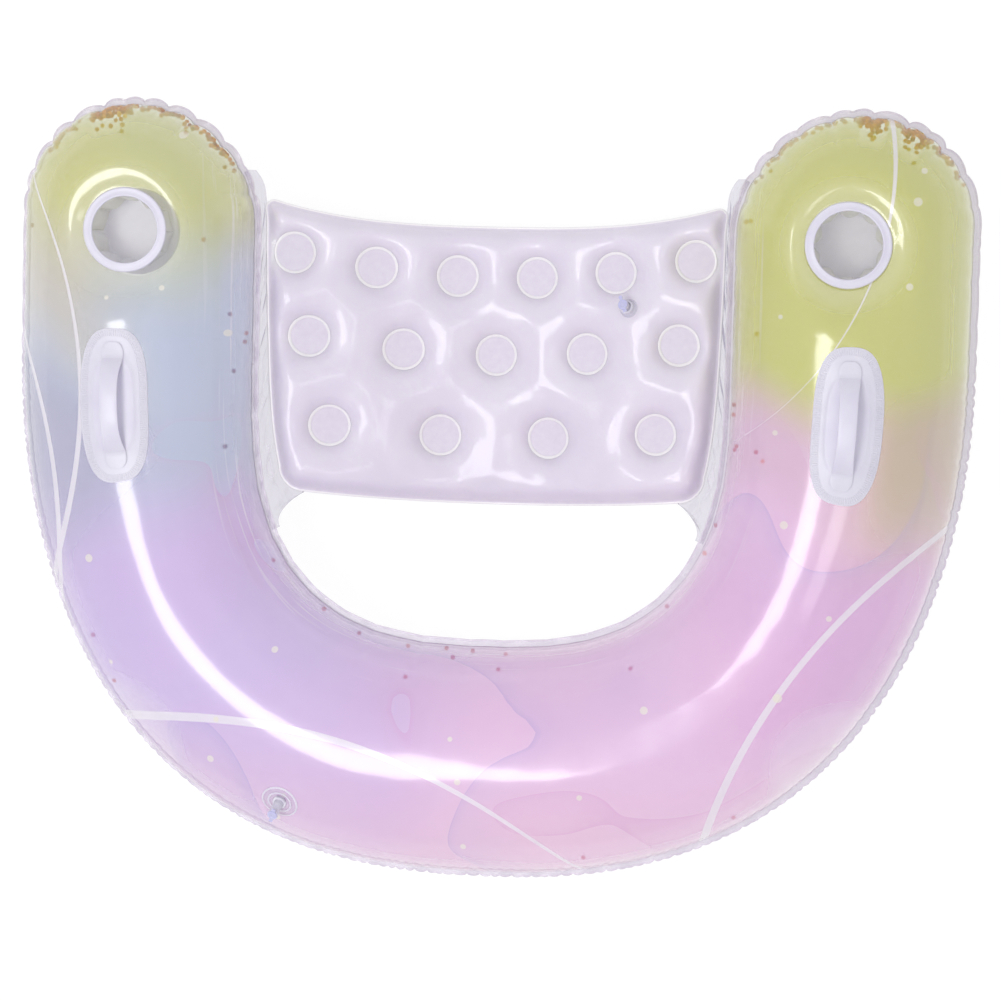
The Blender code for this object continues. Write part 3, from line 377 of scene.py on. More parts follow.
def colour(code):
    """Linear RGBA of an sRGB hex code."""
    parts = [int(code[i:i + 2], 16) / 255 for i in (1, 3, 5)]
    return tuple(c / 12.92 if c <= 0.04045 else ((c + 0.055) / 1.055) ** 2.4 for c in parts) + (1.0,)


def new_finish(name):
    """An empty material, and add_node bound to its tree."""
    finish = bpy.data.materials.new(name)
    finish.use_nodes = True
    finish.node_tree.nodes.clear()
    return finish, partial(add_node, finish.node_tree)


def clouded_vinyl(name, scale, detail, dark, light, relief=None, **sockets):
    """A vinyl with one cloudy pattern, of this scale per metre, in its colour and its relief."""
    finish, add = new_finish(name)
    place = add("TexCoord").outputs["Object"]
    cloud = add("TexNoise", {"Vector": place, "Scale": scale, "Detail": detail})
    tint = add("Mix", {0: cloud, 6: colour(dark), 7: colour(light)}, data_type="RGBA")
    sockets = {socket.replace("_", " "): value for socket, value in sockets.items()}
    if relief:
        sockets["Normal"] = add("Bump", {"Height": cloud, "Strength": relief[0], "Distance": relief[1]})
    shader = add("BsdfPrincipled", {"Base Color": tint, **sockets})
    add("OutputMaterial", {0: shader})
    return finish


# Soft PVC film, calendered to a high gloss and gravure printed on its inner face in soft pastel inks that
# let light through: it reads as a clear glossy skin over a cloudy, blended colour.
printed_film, add = new_finish("calendered_pvc_film_gravure_printed")
place = add("TexCoord").outputs["Object"]
drift = add("TexNoise", {"Vector": place, "Scale": 3.1, "Detail": 1.0}).outputs["Color"]
drift = add("VectorMath", {0: drift, 1: (0.5, 0.5, 0.5)}, operation="SUBTRACT")
washed = add("VectorMath", {0: drift, 1: (0.3, 0.3, 0.3), 2: place}, operation="MULTIPLY_ADD")
axes = add("SeparateXYZ", {0: washed})
across, ahead = axes.outputs["X"], axes.outputs["Y"]

# Inks, each laid over the ones before: its colour, its strength, and where it fades in, from and to, in
# metres across (the first pairs) or ahead. The lime on the arms' ends comes last.
ink = colour("#CFAEEE")
lime = None
for code, strength, *fades in (
    ("#F1B9EA", 1.00, (across, -0.30, 0.12)),
    ("#F3BCE0", 0.70, (ahead, -0.26, -0.44)),
    ("#E08FDC", 0.65, (across, 0.26, 0.42), (ahead, 0.02, -0.08), (ahead, -0.36, -0.20)),
    ("#DDB49C", 0.85, (across, 0.36, 0.50), (ahead, -0.13, 0.04)),
    ("#D8A6C4", 0.60, (across, 0.50, 0.38), (across, 0.20, 0.30), (ahead, -0.02, 0.06)),
    ("#B2C0E0", 1.00, (across, -0.22, -0.36), (ahead, -0.07, 0.06)),
    ("#9697BC", 0.75, (across, -0.42, -0.52), (ahead, 0.20, 0.08), (ahead, -0.12, 0.0)),
    ("#CBBE9E", 0.80, (across, -0.42, -0.52), (ahead, 0.10, 0.26)),
    ("#BCA060", 0.85, (across, 0.45, 0.54), (ahead, -0.10, 0.06)),
    ("#D0D04E", 0.90, (across, -0.10, -0.30), (ahead, 0.24, 0.38)),
    ("#CDCE3A", 1.00, (across, 0.10, 0.30), (ahead, 0.08, 0.20)),
):
    share = strength
    for axis, start, full in fades:
        fade = add("MapRange", {
            "Value": axis, "From Min": start, "From Max": full}, interpolation_type="SMOOTHSTEP")
        share = add("Math", {0: share, 1: fade}, operation="MULTIPLY")
    ink = add("Mix", {0: share, 6: ink, 7: colour(code)}, data_type="RGBA")
    if code in ("#D0D04E", "#CDCE3A"):
        lime = share if lime is None else add("Math", {0: lime, 1: share}, operation="MAXIMUM")

# Washes that pooled as they dried: 100 to 200 mm across, with a fine dark line where each one stopped.
off_lime = add("Math", {0: 1.0, 1: lime}, operation="SUBTRACT")
near_back = add("MapRange", {"Value": ahead, "From Min": 0.14, "From Max": 0.0, "To Min": 0.12})
off_lime = add("Math", {0: off_lime, 1: near_back}, operation="MULTIPLY")
for scale, bands, code, strength in ((2.3, 4.0, "#8F7BD6", 0.50), (3.1, 3.0, "#D86CC4", 0.40)):
    pool = add("TexNoise", {"Vector": washed, "Scale": scale, "Detail": 0.7})
    pool = add("Math", {0: pool, 1: bands}, operation="MULTIPLY")
    pool = add("Math", {0: pool}, operation="FRACT")
    depth = add("ValToRGB", {"Fac": pool})
    for step, (position, grey) in enumerate(((0.0, 0.80), (0.015, 0.48), (0.09, 0.24), (0.55, 0.0))):
        stop = depth.color_ramp.elements[step] if step < 2 else depth.color_ramp.elements.new(position)
        stop.position, stop.color = position, (grey, grey, grey, 1.0)
    share = add("Math", {0: depth, 1: strength}, operation="MULTIPLY")
    share = add("Math", {0: share, 1: off_lime}, operation="MULTIPLY")
    ink = add("Mix", {0: share, 6: ink, 7: colour(code)}, data_type="RGBA")

# White ribbons that sweep over the tube. Each is the sliver between two circles, up to about 20 mm wide:
# centre, radius, width, and how far the second centre is shifted, which makes it taper.
level = add("VectorMath", {0: place, 1: (1.0, 1.0, 0.0)}, operation="MULTIPLY")
white_ink = None
for x, y, radius, wide, shift_x, shift_y in (
    (-1.02, 0.10, 0.525, 0.0120, 0.0060, 0.0080), (-1.04, -0.06, 0.512, 0.0090, 0.0010, 0.0060),
    (-0.34, -0.98, 0.700, 0.0130, 0.0110, 0.0020), (0.98, -0.62, 0.720, 0.0190, -0.0070, 0.0090),
    (0.10, 0.42, 0.405, 0.0100, 0.0050, -0.0080),
):
    within = add("VectorMath", {0: level, 1: (x, y, 0.0)}, operation="DISTANCE")
    beyond = add("VectorMath", {0: level, 1: (x + shift_x, y + shift_y, 0.0)}, operation="DISTANCE")
    inside = add("MapRange", {"Value": within, "From Min": radius + 0.0006, "From Max": radius - 0.0006})
    outside_it = add("MapRange", {
        "Value": beyond, "From Min": radius - wide - 0.0006, "From Max": radius - wide + 0.0006})
    ribbon = add("Math", {0: inside, 1: outside_it}, operation="MULTIPLY")
    white_ink = ribbon if white_ink is None else add("Math", {0: white_ink, 1: ribbon}, operation="MAXIMUM")
ink = add("Mix", {
    0: add("Math", {0: white_ink, 1: 0.85}, operation="MULTIPLY"),
    6: ink, 7: colour("#F8F3FA")}, data_type="RGBA")

# Loose round dots of pale ink, 5 to 11 mm, scattered a hand apart.
cells = add("TexVoronoi", {"Vector": place, "Scale": 13.0}, voronoi_dimensions="2D")
pick = add("SeparateColor", {0: cells.outputs["Color"]})
dot_size = add("Math", {0: pick.outputs["Green"], 1: 0.040, 2: 0.034}, operation="MULTIPLY_ADD")
past_dot = add("Math", {0: cells.outputs["Distance"], 1: dot_size}, operation="SUBTRACT")
dot = add("MapRange", {"Value": past_dot, "From Min": 0.008, "From Max": -0.008})
picked = add("Math", {0: pick.outputs["Red"], 1: 0.66}, operation="GREATER_THAN")
dot = add("Math", {0: dot, 1: picked}, operation="MULTIPLY")
dot = add("Math", {0: dot, 1: 0.7}, operation="MULTIPLY")
ink = add("Mix", {0: dot, 6: ink, 7: colour("#F6F0DC")}, data_type="RGBA")

# Film tensed between the welds: long fine folds 4 to 12 mm apart beside both seams, their sharpest
# ridges painted white as painted highlights, and hardly any relief along the crest, which is blown up
# smooth.
film_uv = add("UVMap", uv_map="film_metres")
around = add("SeparateXYZ", {0: film_uv}).outputs["Y"]
stretch = add("Mapping", {"Vector": film_uv, "Scale": (3.4, 110.0, 1.0)})
folds = add("TexNoise", {"Vector": stretch, "Scale": 1.0, "Detail": 2.0})
seat_side = add("MapRange", {"Value": around, "From Min": -0.095, "From Max": -0.175})
far_side = add("MapRange", {"Value": around, "From Min": 0.120, "From Max": 0.200, "To Max": 0.6})
folded = add("Math", {0: seat_side, 1: far_side}, operation="MAXIMUM")
# Painted highlight: the sharpest fold ridges are painted near white where they would catch the light.
sharp = add("MapRange", {"Value": folds, "From Min": 0.60, "From Max": 0.68, "To Max": 0.5})
painted_fold_highlight = add("Math", {0: sharp, 1: folded}, operation="MULTIPLY")
ink = add("Mix", {0: painted_fold_highlight, 6: ink, 7: colour("#F3ECF4")}, data_type="RGBA")
relief = add("Math", {0: folds, 1: folded}, operation="MULTIPLY")
tension = add("Bump", {"Height": relief, "Strength": 0.6, "Distance": 0.0022})

# The ink is densest in the lime and on the white ribbons, thins out round the cups, and is nearly clear
# where the flakes gather and in a round window in the print beside the left cup.
mirrored = add("VectorMath", {0: level}, operation="ABSOLUTE")
to_cup = add("VectorMath", {0: mirrored, 1: (cup_x, cup_y, 0.0)}, operation="DISTANCE")
at_cup = add("MapRange", {"Value": to_cup, "From Min": 0.090, "From Max": 0.065, "To Max": 0.12})
flaked = add("Attribute", attribute_name="flakes").outputs["Fac"]
thin = add("Math", {0: flaked, 1: 0.31, 2: at_cup}, operation="MULTIPLY_ADD")
window = (0.0165 - cup_x, cup_y - 0.002, 0.0)
to_window = add("VectorMath", {0: level, 1: window}, operation="DISTANCE")
at_window = add("MapRange", {"Value": to_window, "From Min": 0.0560, "From Max": 0.0520, "To Max": 0.32})
thin = add("Math", {0: thin, 1: at_window}, operation="ADD")
body = add("Math", {0: lime, 1: 0.09, 2: 0.44}, operation="MULTIPLY_ADD")
body = add("Math", {0: white_ink, 1: 0.22, 2: body}, operation="MULTIPLY_ADD")
body = add("Math", {0: body, 1: thin}, operation="SUBTRACT")
shader = add("BsdfPrincipled", {
    "Base Color": ink, "Roughness": 0.26, "IOR": 1.53, "Alpha": body, "Normal": tension,
    "Coat Weight": 1.0, "Coat Roughness": 0.11, "Coat IOR": 1.75,
})
add("OutputMaterial", {0: shader})

top_angles = (
    83.0, 76.0, 69.0, 62.0, 55.0, 48.5, 42.0, 36.0, 30.5, 25.5, 21.0, 17.0, 13.3, 10.0, 7.0, 4.5, 2.2, 0.0,
)
points, uv, faces = tube_sheet(top_angles, True)
valve_place = line_at(valve_s)
valve_x = float(valve_place[0] + valve_place[2] * valve_out)
valve_y = float(valve_place[1] + valve_place[3] * valve_out)
cup_rings = np.concatenate((
    (0.0432, 0.0445, 0.0465, 0.049, 0.0515),
    np.arange(0.054, 0.080, 0.0025), np.arange(0.081, 0.118, 0.0040),
))
for x, y, sizes in (
    (cup_x, cup_y, cup_rings), (-cup_x, cup_y, cup_rings),
    (valve_x, valve_y, (0.0083, 0.011, 0.015, 0.020, 0.026)),
):
    points, uv, faces = open_hole(points, uv, faces, x, y, sizes)
tube_top = make_piece("tube_upper_panel", points, faces, printed_film, uv)
flaked = np.zeros(len(points))
of_skin = slice(station_count, station_count + spoke_count * len(top_angles))
flaked[of_skin] = gathered(top_angles, row=0.045, reach=0.095).ravel()
used = np.zeros(len(points), bool)
used[[v for face in faces for v in face]] = True
layer = tube_top.data.attributes.new("flakes", "FLOAT", "POINT")
layer.data.foreach_set("value", flaked[used].astype(np.float32))
film_wall(tube_top, film)
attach(tube_top, "float")
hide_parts("tube_top_panel")

# Tube, lower panel.
# The bottom half of the same tube: clear PVC film of the same gauge, unprinted, pressed flat where it
# lies and creased where it was gathered into the seam. It shows through the upper panel.

# Clear calendered PVC with a faint violet cast: nearly all light passes, and its gloss and creases show.
clear_film = clouded_vinyl(
    "calendered_pvc_film_clear", 26.0, 2.5, "#CFC7DE", "#EAE5F2", (0.5, 0.002),
    Roughness=0.16, IOR=1.53, Alpha=0.15, Coat_Weight=0.6, Coat_Roughness=0.06)

low_angles = (74.0, 64.0, 54.0, 44.0, 34.0, 25.0, 17.0, 11.0, 6.5, 3.0, 0.0)
points, uv, faces = tube_sheet(low_angles, False)
tube_low = make_piece("tube_lower_panel", points, faces, clear_film, uv)
film_wall(tube_low, film)
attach(tube_low, "float")
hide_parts("tube_bottom_panel")

# Tube seam.
# Where the two panels meet they are fused by a heated bar into one flat lip, about 9 mm wide and milky
# from the heat. Its free edge is trimmed just outside the weld and waves a little at every gather.

seam_shares = np.array((-0.10, 0.06, 0.22, 0.40, 0.58, 0.76, 0.92, 1.0))
lip_from = (spoke_half - weld_lip - gather_in)[:, None]
lip_wide = (weld_lip - 0.35 * gather_in)[:, None]
lip_wave = 0.0014 * np.sin(edge_d * 2 * math.pi / 0.047 + 2.0 * np.sin(edge_d * 2 * math.pi / 0.31))
lip_wave = lip_wave * (0.35 + 0.65 * at_end) + 0.10 * gather_in * np.where(cell % 2 == 0, 1.0, -1.0)
radial = lip_from + lip_wide * seam_shares[None, :]
lip_z = seam_z + lip_wave[:, None] * np.clip(seam_shares, 0.0, 1.0)[None, :] ** 2
seam_points = np.stack((
    spoke_x[:, None] + spoke_dx[:, None] * radial, spoke_y[:, None] + spoke_dy[:, None] * radial, lip_z,
), axis=-1)
seam_uv = np.stack(np.broadcast_arrays(edge_d[:, None], weld_lip * seam_shares[None, :]), axis=-1)
seam_faces = woven(spoke_count, len(seam_shares), columns_close=False)

# Heat-welded PVC: two films fused under a knurled bar, so it is milky and finely crimped, and whitest
# along the trimmed edge.
welded_seam, add = new_finish("heat_welded_pvc_seam")
weld_uv = add("UVMap", uv_map="film_metres")
crimp = add("TexWave", {"Vector": weld_uv, "Scale": 52.0, "Distortion": 1.2}).outputs["Fac"]
pressed = add("Bump", {"Height": crimp, "Strength": 0.5, "Distance": 0.0005})
place = add("TexCoord").outputs["Object"]
cloud = add("TexNoise", {"Vector": place, "Scale": 60.0, "Detail": 2.0})
milk = add("Mix", {0: cloud, 6: colour("#B8A6C8"), 7: colour("#DDD0E4")}, data_type="RGBA")
from_weld = add("SeparateXYZ", {0: weld_uv}).outputs["Y"]
trimmed = add("MapRange", {"Value": from_weld, "From Min": 0.0062, "From Max": 0.0086})
milk = add("Mix", {0: trimmed, 6: milk, 7: colour("#EBE2F0")}, data_type="RGBA")
dense = add("Math", {0: trimmed, 1: 0.28, 2: 0.34}, operation="MULTIPLY_ADD")
shader = add("BsdfPrincipled", {
    "Base Color": milk, "Roughness": 0.28, "IOR": 1.53, "Alpha": dense, "Normal": pressed,
    "Coat Weight": 0.4, "Coat Roughness": 0.12,
})
add("OutputMaterial", {0: shader})

seam_points, seam_uv = seam_points.reshape(-1, 3), seam_uv.reshape(-1, 2)
tube_seam = make_piece("tube_seam", seam_points, seam_faces, welded_seam, seam_uv)
film_wall(tube_seam, 2 * film)
tube_seam.modifiers["film thickness"].offset = 0.0
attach(tube_seam, "float")

# Confetti.
# Loose hexagonal flakes of metallised polyester, about 7 mm across and 0.12 mm thick, dropped into the
# tube before its last weld. They cling to the film inside the arms' ends, most of them beside the seam.

# Vacuum-metallised polyester, punched into flakes: a mirror finish dulled by a copper-to-gold lacquer
# over it. Each flake takes a random tone from dark copper to bright gold, partly its lacquer colour and
# partly painted reflection that stands for the way it catches the light as it tilts.
flake_foil, add = new_finish("metallised_polyester_flake")
tone = add("Attribute", attribute_name="tone").outputs["Fac"]
lacquer_and_glint = add("ValToRGB", {"Fac": tone})
lacquer_and_glint.color_ramp.elements[0].color = colour("#B4551A")
lacquer_and_glint.color_ramp.elements[1].color = colour("#FFC648")
for position, code in ((0.30, "#DA6E1C"), (0.62, "#EE8426"), (0.86, "#FBA036")):
    lacquer_and_glint.color_ramp.elements.new(position).color = colour(code)
place = add("TexCoord").outputs["Object"]
scuff = add("TexNoise", {"Vector": place, "Scale": 900.0})
dull = add("MapRange", {"Value": scuff, "To Min": 0.30, "To Max": 0.50})
shader = add("BsdfPrincipled", {"Base Color": lacquer_and_glint, "Roughness": dull, "Metallic": 0.45})
add("OutputMaterial", {0: shader})


def new_tree(name, inputs):
    """A Geometry Nodes tree with named inputs, add_node bound to it, and the sockets of its inputs."""
    tree = bpy.data.node_groups.new(name, "GeometryNodeTree")
    tree.interface.new_socket("Geometry", in_out="INPUT", socket_type="NodeSocketGeometry")
    for label, kind in inputs:
        tree.interface.new_socket(label, in_out="INPUT", socket_type="NodeSocket" + kind)
    tree.interface.new_socket("Geometry", in_out="OUTPUT", socket_type="NodeSocketGeometry")
    return tree, partial(add_node, tree), add_node(tree, "NodeGroupInput").outputs


def grow(name, carrier, tree, values):
    """Run a tree on its carrier, keep the result as a plain mesh and drop the carrier."""
    step = carrier.modifiers.new(name, "NODES")
    step.node_group = tree
    for item in tree.interface.items_tree:
        if item.in_out == "INPUT" and item.name in values:
            step[item.identifier] = values[item.name]
    bpy.context.view_layer.update()
    grown = carrier.evaluated_get(bpy.context.evaluated_depsgraph_get())
    mesh = bpy.data.meshes.new_from_object(grown)
    mesh.name = name
    bpy.data.objects.remove(carrier)
    return into_scene(name, mesh)


confetti_tree, add, given = new_tree("confetti", (
    ("Flake width", "Float"), ("Flakes per square metre", "Float"), ("Seed", "Int"), ("Foil", "Material"),
))
amount = add("InputNamedAttribute", {"Name": "amount"})
density = add("Math", {0: given["Flakes per square metre"], 1: amount}, operation="MULTIPLY")
strewn = add("DistributePointsOnFaces", {
    "Mesh": given["Geometry"], "Density": density, "Seed": given["Seed"],
})
flake_radius = add("Math", {0: given["Flake width"], 1: 0.5}, operation="MULTIPLY")
flake_thick = 0.00012
flake = add("MeshCylinder", {"Vertices": 6, "Radius": flake_radius, "Depth": flake_thick})
leaning = add("VectorMath", {0: strewn.outputs["Normal"], 1: (0.0, 0.0, 3.0)}, operation="ADD")
facing = add("AlignRotationToVector", {"Vector": leaning}, axis="Z")
tilt = add("RandomValue", {
    0: (-0.35, -0.35, 0.0), 1: (0.35, 0.35, 6.28), "Seed": given["Seed"],
}, data_type="FLOAT_VECTOR")
turned_flake = add("RotateRotation", {
    "Rotation": facing, "Rotate By": add("EulerToRotation", {0: tilt}),
}, rotation_space="LOCAL")
size = add("RandomValue", {2: 0.90, 3: 1.05, "Seed": given["Seed"]})
placed = add("InstanceOnPoints", {
    "Points": strewn, "Instance": flake, "Rotation": turned_flake, "Scale": size,
})
# Painted reflection: a random tone per flake stands for how brightly each tilted flake catches the light.
shade = add("RandomValue", {2: 0.0, 3: 1.0, "Seed": 5})
toned = add("StoreNamedAttribute", {
    "Geometry": placed, "Name": "tone", "Value": shade,
}, domain="INSTANCE", data_type="FLOAT")
real = add("RealizeInstances", {0: toned})
coated = add("SetMaterial", {"Geometry": real, "Material": given["Foil"]})
add("NodeGroupOutput", {0: coated})

cling_in, cling_down = 0.0034, 0.0016     # from the film to the flakes that cling to it
strip_angles = (46.0, 38.0, 30.0, 23.0, 17.0, 12.0, 8.0, 4.5, 2.0)
strip = tube_skin(strip_angles, True)[0].copy()
cling = (cling_in * spoke_dx, cling_in * spoke_dy, np.full(spoke_count, cling_down))
strip -= np.stack(cling, axis=-1)[:, None, :]
from_seam = arc_radius * np.radians(np.array(strip_angles))[None, :]
inside_edge = np.where(spoke_out < -0.5, 1.0, 0.0)[:, None]
beside = inside_edge * (0.008 + 0.060 * smooth((bunch[:, None] - 0.72) / 0.2)) * np.exp(-from_seam / 0.060)
amount = np.maximum(gathered(strip_angles, row=0.022, reach=0.078), beside) + 0.0006
strip_faces = woven(spoke_count, len(strip_angles), columns_close=False)
carrier = make_piece("confetti_carrier", strip.reshape(-1, 3), strip_faces, flake_foil)
layer = carrier.data.attributes.new("amount", "FLOAT", "POINT")
layer.data.foreach_set("value", amount.astype(np.float32).ravel())
confetti = grow("confetti", carrier, confetti_tree, {
    "Flake width": 0.0066, "Flakes per square metre": 29000.0, "Seed": 3, "Foil": flake_foil,
})
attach(confetti, "float")

# Seat mat.
# Two sheets of milky PVC film welded round the edge and at fifteen round spots, then blown up: the air
# lifts the film between the spots and draws it into short folds round each one. It hangs like a sling.

seat_front_y = 0.341
seat_rear_y = -0.020
seat_depth = 0.361
seat_front_bow = 0.031
seat_rear_bow = 0.014
seat_lip = 0.006
lip_trim = 0.0026             # whitened strip along the lip's cut edge
seat_puff = 0.024             # half the mat's thickness at its fullest, as it is formed
start_share = 0.88            # of that thickness, from which the air blows it up
under_share = 0.85            # of the upper sheet's lift, taken by the lower one
seat_edge_round = 0.034
gap_front, gap_rear = 0.0035, 0.020               # between mat and tube, where the webs are
drop_front, drop_rear, sling_sag = 0.013, 0.030, 0.050
front_round, rear_round = 0.012, 0.034
spot_bead = 0.004             # width of the ring round each spot
tuft_reach = 0.042
spot_radius = 0.0255
weld_rows = ((6, 0.066, 0.037, 0.026), (5, 0.166, 0.054, 0.019), (4, 0.273, 0.074, 0.011))

end_angle = np.radians(np.linspace(80.0, 5.0, 24))
side_x, side_y, side_nx, side_ny = line_at(np.linspace(0.0, line_end / 2, 400))
side_half = half_width(side_y)
end_size = arm_half + arm_end_lean * np.sin(2 * (math.pi - end_angle))
rim_x = np.concatenate((arm_x - end_size * np.cos(end_angle), side_x - side_nx * side_half))
rim_y = np.concatenate((arm_end_y + end_size * np.sin(end_angle), side_y - side_ny * side_half))
rim_order = np.argsort(rim_y)
rim_x, rim_y = rim_x[rim_order], rim_y[rim_order]


def inner_edge(y):
    """X of the tube's lip beside the seat."""
    return np.interp(y, rim_y, rim_x)


def seat_share(y):
    return np.clip((y - seat_rear_y) / seat_depth, 0.0, 1.0)


def seat_half(y):
    return inner_edge(y) - (gap_front + (gap_rear - gap_front) * (1.0 - seat_share(y)) ** 2)


def seat_front(x):
    return seat_front_y + seat_front_bow * (np.abs(x) / seat_half(seat_front_y)) ** 3


def seat_rear(x):
    return seat_rear_y + seat_rear_bow * (x / seat_half(seat_rear_y)) ** 2


def seat_mid(x, y):
    """Height of the weld plane, which sags like a sling between the webs."""
    across = np.minimum(np.abs(x) / seat_half(y), 1.0)
    drop = drop_rear + (drop_front - drop_rear) * seat_share(y)
    return seam_z - drop - sling_sag * (1.0 - across ** 2) ** 2


def corner_centre(radius, front):
    x = seat_half(seat_front_y if front else seat_rear_y) - radius
    for _ in range(8):
        y = seat_front(x) - radius if front else seat_rear(x) + radius
        x = seat_half(y) - radius
    return float(x), float(y)


front_corner = corner_centre(front_round, True)
rear_corner = corner_centre(rear_round, False)


def corner_arc(centre, radius, start, stop, steps):
    turned = np.radians(np.linspace(start, stop, steps + 1))
    return np.stack((centre[0] + radius * np.cos(turned), centre[1] + radius * np.sin(turned)), axis=1)


def seat_outline(inset):
    """Closed plan outline of the mat, moved inwards."""
    front_x = np.linspace(0.0, front_corner[0], 54)[:-1]
    right = np.stack((front_x, seat_front(front_x) - inset), axis=1)
    right = np.concatenate((right, corner_arc(front_corner, front_round - inset, 90.0, 0.0, 4)[:-1]))
    down = np.linspace(front_corner[1], rear_corner[1], 60)[:-1]
    right = np.concatenate((right, np.stack((seat_half(down) - inset, down), axis=1)))
    right = np.concatenate((right, corner_arc(rear_corner, rear_round - inset, 0.0, -90.0, 10)))
    back_x = np.linspace(rear_corner[0], 0.0, 50)[1:]
    right = np.concatenate((right, np.stack((back_x, seat_rear(back_x) + inset), axis=1)))
    return np.concatenate((right, (right * (-1.0, 1.0))[-2:0:-1]))


spots = []
for count, behind, margin, bow in weld_rows:
    y = seat_front_y - behind
    end = seat_half(y + bow) - margin
    for i in range(count):
        x = end * (2.0 * i / (count - 1) - 1.0)
        spots.append((float(x), float(y + bow * (x / end) ** 2)))
spots = np.array(spots)
chamber_loop = seat_outline(seat_lip)


def to_loop(loop, x, y):
    """Distance from many points to a closed loop, positive inside it."""
    nearest = np.full(np.shape(x), 1e9)
    inside = np.zeros(np.shape(x), bool)
    for (ax, ay), (bx, by) in zip(loop, np.roll(loop, -1, axis=0)):
        run = (bx - ax) ** 2 + (by - ay) ** 2
        share = np.clip(((x - ax) * (bx - ax) + (y - ay) * (by - ay)) / run, 0.0, 1.0)
        nearest = np.minimum(nearest, np.hypot(ax + share * (bx - ax) - x, ay + share * (by - ay) - y))
        if by != ay:
            inside ^= ((ay > y) != (by > y)) & (x < ax + (bx - ax) * (y - ay) / (by - ay))
    return np.where(inside, nearest, -nearest)


def dome(t):
    t = np.clip(t, 0.0, 1.0)
    return np.sqrt(1.0 - (1.0 - t) ** 2)


def formed_puff(x, y):
    """Half thickness by rule: round at the edge, drawn in to nothing at each spot."""
    puff = seat_puff * dome(to_loop(chamber_loop, x, y) / seat_edge_round)
    for sx, sy in spots:
        puff = puff * dome((np.hypot(x - sx, y - sy) - spot_radius) / tuft_reach)
    return puff


# The flat cut: a fine net of triangles that follows the lip and the circle of every spot weld.
net_points = []
net_edges = []


def add_loop(loop):
    first = len(net_points)
    net_points.extend((float(x), float(y)) for x, y in loop)
    net_edges.extend((first + k, first + (k + 1) % len(loop)) for k in range(len(loop)))


circle = np.radians(np.arange(0.0, 360.0, 10.0))
ring = np.stack((np.cos(circle), np.sin(circle)), axis=1)
add_loop(seat_outline(0.0))
add_loop(seat_outline(lip_trim))
add_loop(chamber_loop)
seat_valve = np.array((0.172, 0.241))
seat_hole = 0.0072
add_loop(seat_valve + ring * seat_hole)
for spot in spots:
    add_loop(spot + ring * spot_radius)
    add_loop(spot + ring * (spot_radius - spot_bead))
grid_width, grid_depth = 0.60, 0.40
grid_step = 0.0056
line_step = grid_step * 0.87
columns = int(grid_width / grid_step)
lines = int(grid_depth / line_step)
grid_x, grid_y = [], []
for j in range(lines + 1):
    for i in range(columns + 1):
        grid_x.append(-grid_width / 2 + grid_step * (i + 0.5 * (j % 2)))
        grid_y.append(seat_rear_y - 0.005 + line_step * j)
grid_x, grid_y = np.array(grid_x), np.array(grid_y)
free = to_loop(chamber_loop, grid_x, grid_y) > 0.0035
for sx, sy in spots:
    away = np.hypot(grid_x - sx, grid_y - sy)
    free &= (np.abs(away - spot_radius) > 0.0026) & (np.abs(away - spot_radius + spot_bead) > 0.0022)
free &= np.hypot(grid_x - seat_valve[0], grid_y - seat_valve[1]) > seat_hole + 0.0026
net_points.extend(zip(grid_x[free].tolist(), grid_y[free].tolist()))
net = delaunay_2d_cdt([Vector(p) for p in net_points], net_edges, [], 1, 1e-6)
plan = np.array([(v.x, v.y) for v in net[0]])
plan_faces = [tuple(face) for face in net[2]]
plan_x, plan_y = plan[:, 0], plan[:, 1]
spot_away = np.min(np.hypot(plan_x[:, None] - spots[:, 0], plan_y[:, None] - spots[:, 1]), axis=1)
held = (to_loop(chamber_loop, plan_x, plan_y) < 0.0004) | (spot_away < spot_radius + 0.0003)
puffed = formed_puff(plan_x, plan_y)
lifted = np.stack((plan_x, plan_y, puffed), axis=1)
# The upper sheet, held along its welds, is blown up from a slack start until its folds settle.
sheet_mesh = bpy.data.meshes.new("seat_blow_up")
slack_start = np.stack((plan_x, plan_y, start_share * puffed), axis=1)
sheet_mesh.from_pydata([tuple(p) for p in slack_start], [], plan_faces)
blown = into_scene("seat_blow_up", sheet_mesh)
group = blown.vertex_groups.new(name="welds")
group.add([int(i) for i in np.nonzero(held)[0]], 1.0, "REPLACE")
cloth = blown.modifiers.new("air", "CLOTH")
for setting, value in {
    "quality": 8, "mass": 0.3, "tension_stiffness": 40.0, "compression_stiffness": 40.0,
    "shear_stiffness": 18.0, "bending_stiffness": 1.2, "air_damping": 3.0, "shrink_min": -0.006,
    "use_pressure": True, "uniform_pressure_force": 3.0, "vertex_group_mass": "welds",
}.items():
    setattr(cloth.settings, setting, value)
cloth.settings.effector_weights.gravity = 0.0
cloth.collision_settings.use_collision = False
cloth.point_cache.frame_end = 40
for step in range(1, 29):
    bpy.context.scene.frame_set(step)
settled = blown.evaluated_get(bpy.context.evaluated_depsgraph_get())
flat = np.zeros(len(plan) * 3)
settled.data.vertices.foreach_get("co", flat)
lifted = flat.reshape(-1, 3)
bpy.data.objects.remove(blown)
bpy.context.scene.frame_set(1)
most = 0.034              # no billow rises past this
lifted[:, 2] = most * np.tanh(lifted[:, 2] / most)
# Film this thick takes no kink sharper than about 10 mm, so the finest ones are eased out.
pairs = {tuple(sorted(edge)) for face in plan_faces for edge in zip(face, face[1:] + face[:1])}
pairs = np.array(sorted(pairs))
ends = np.concatenate((pairs, pairs[:, ::-1]))
links = np.bincount(ends[:, 0], minlength=len(plan))[:, None]
for _ in range(3):
    sums = [np.bincount(ends[:, 0], lifted[ends[:, 1], axis], len(plan)) for axis in range(3)]
    lifted[~held] += 0.5 * (np.stack(sums, axis=1) / links - lifted)[~held]
lifted[held] = np.stack((plan_x, plan_y, np.zeros(len(plan))), axis=1)[held]

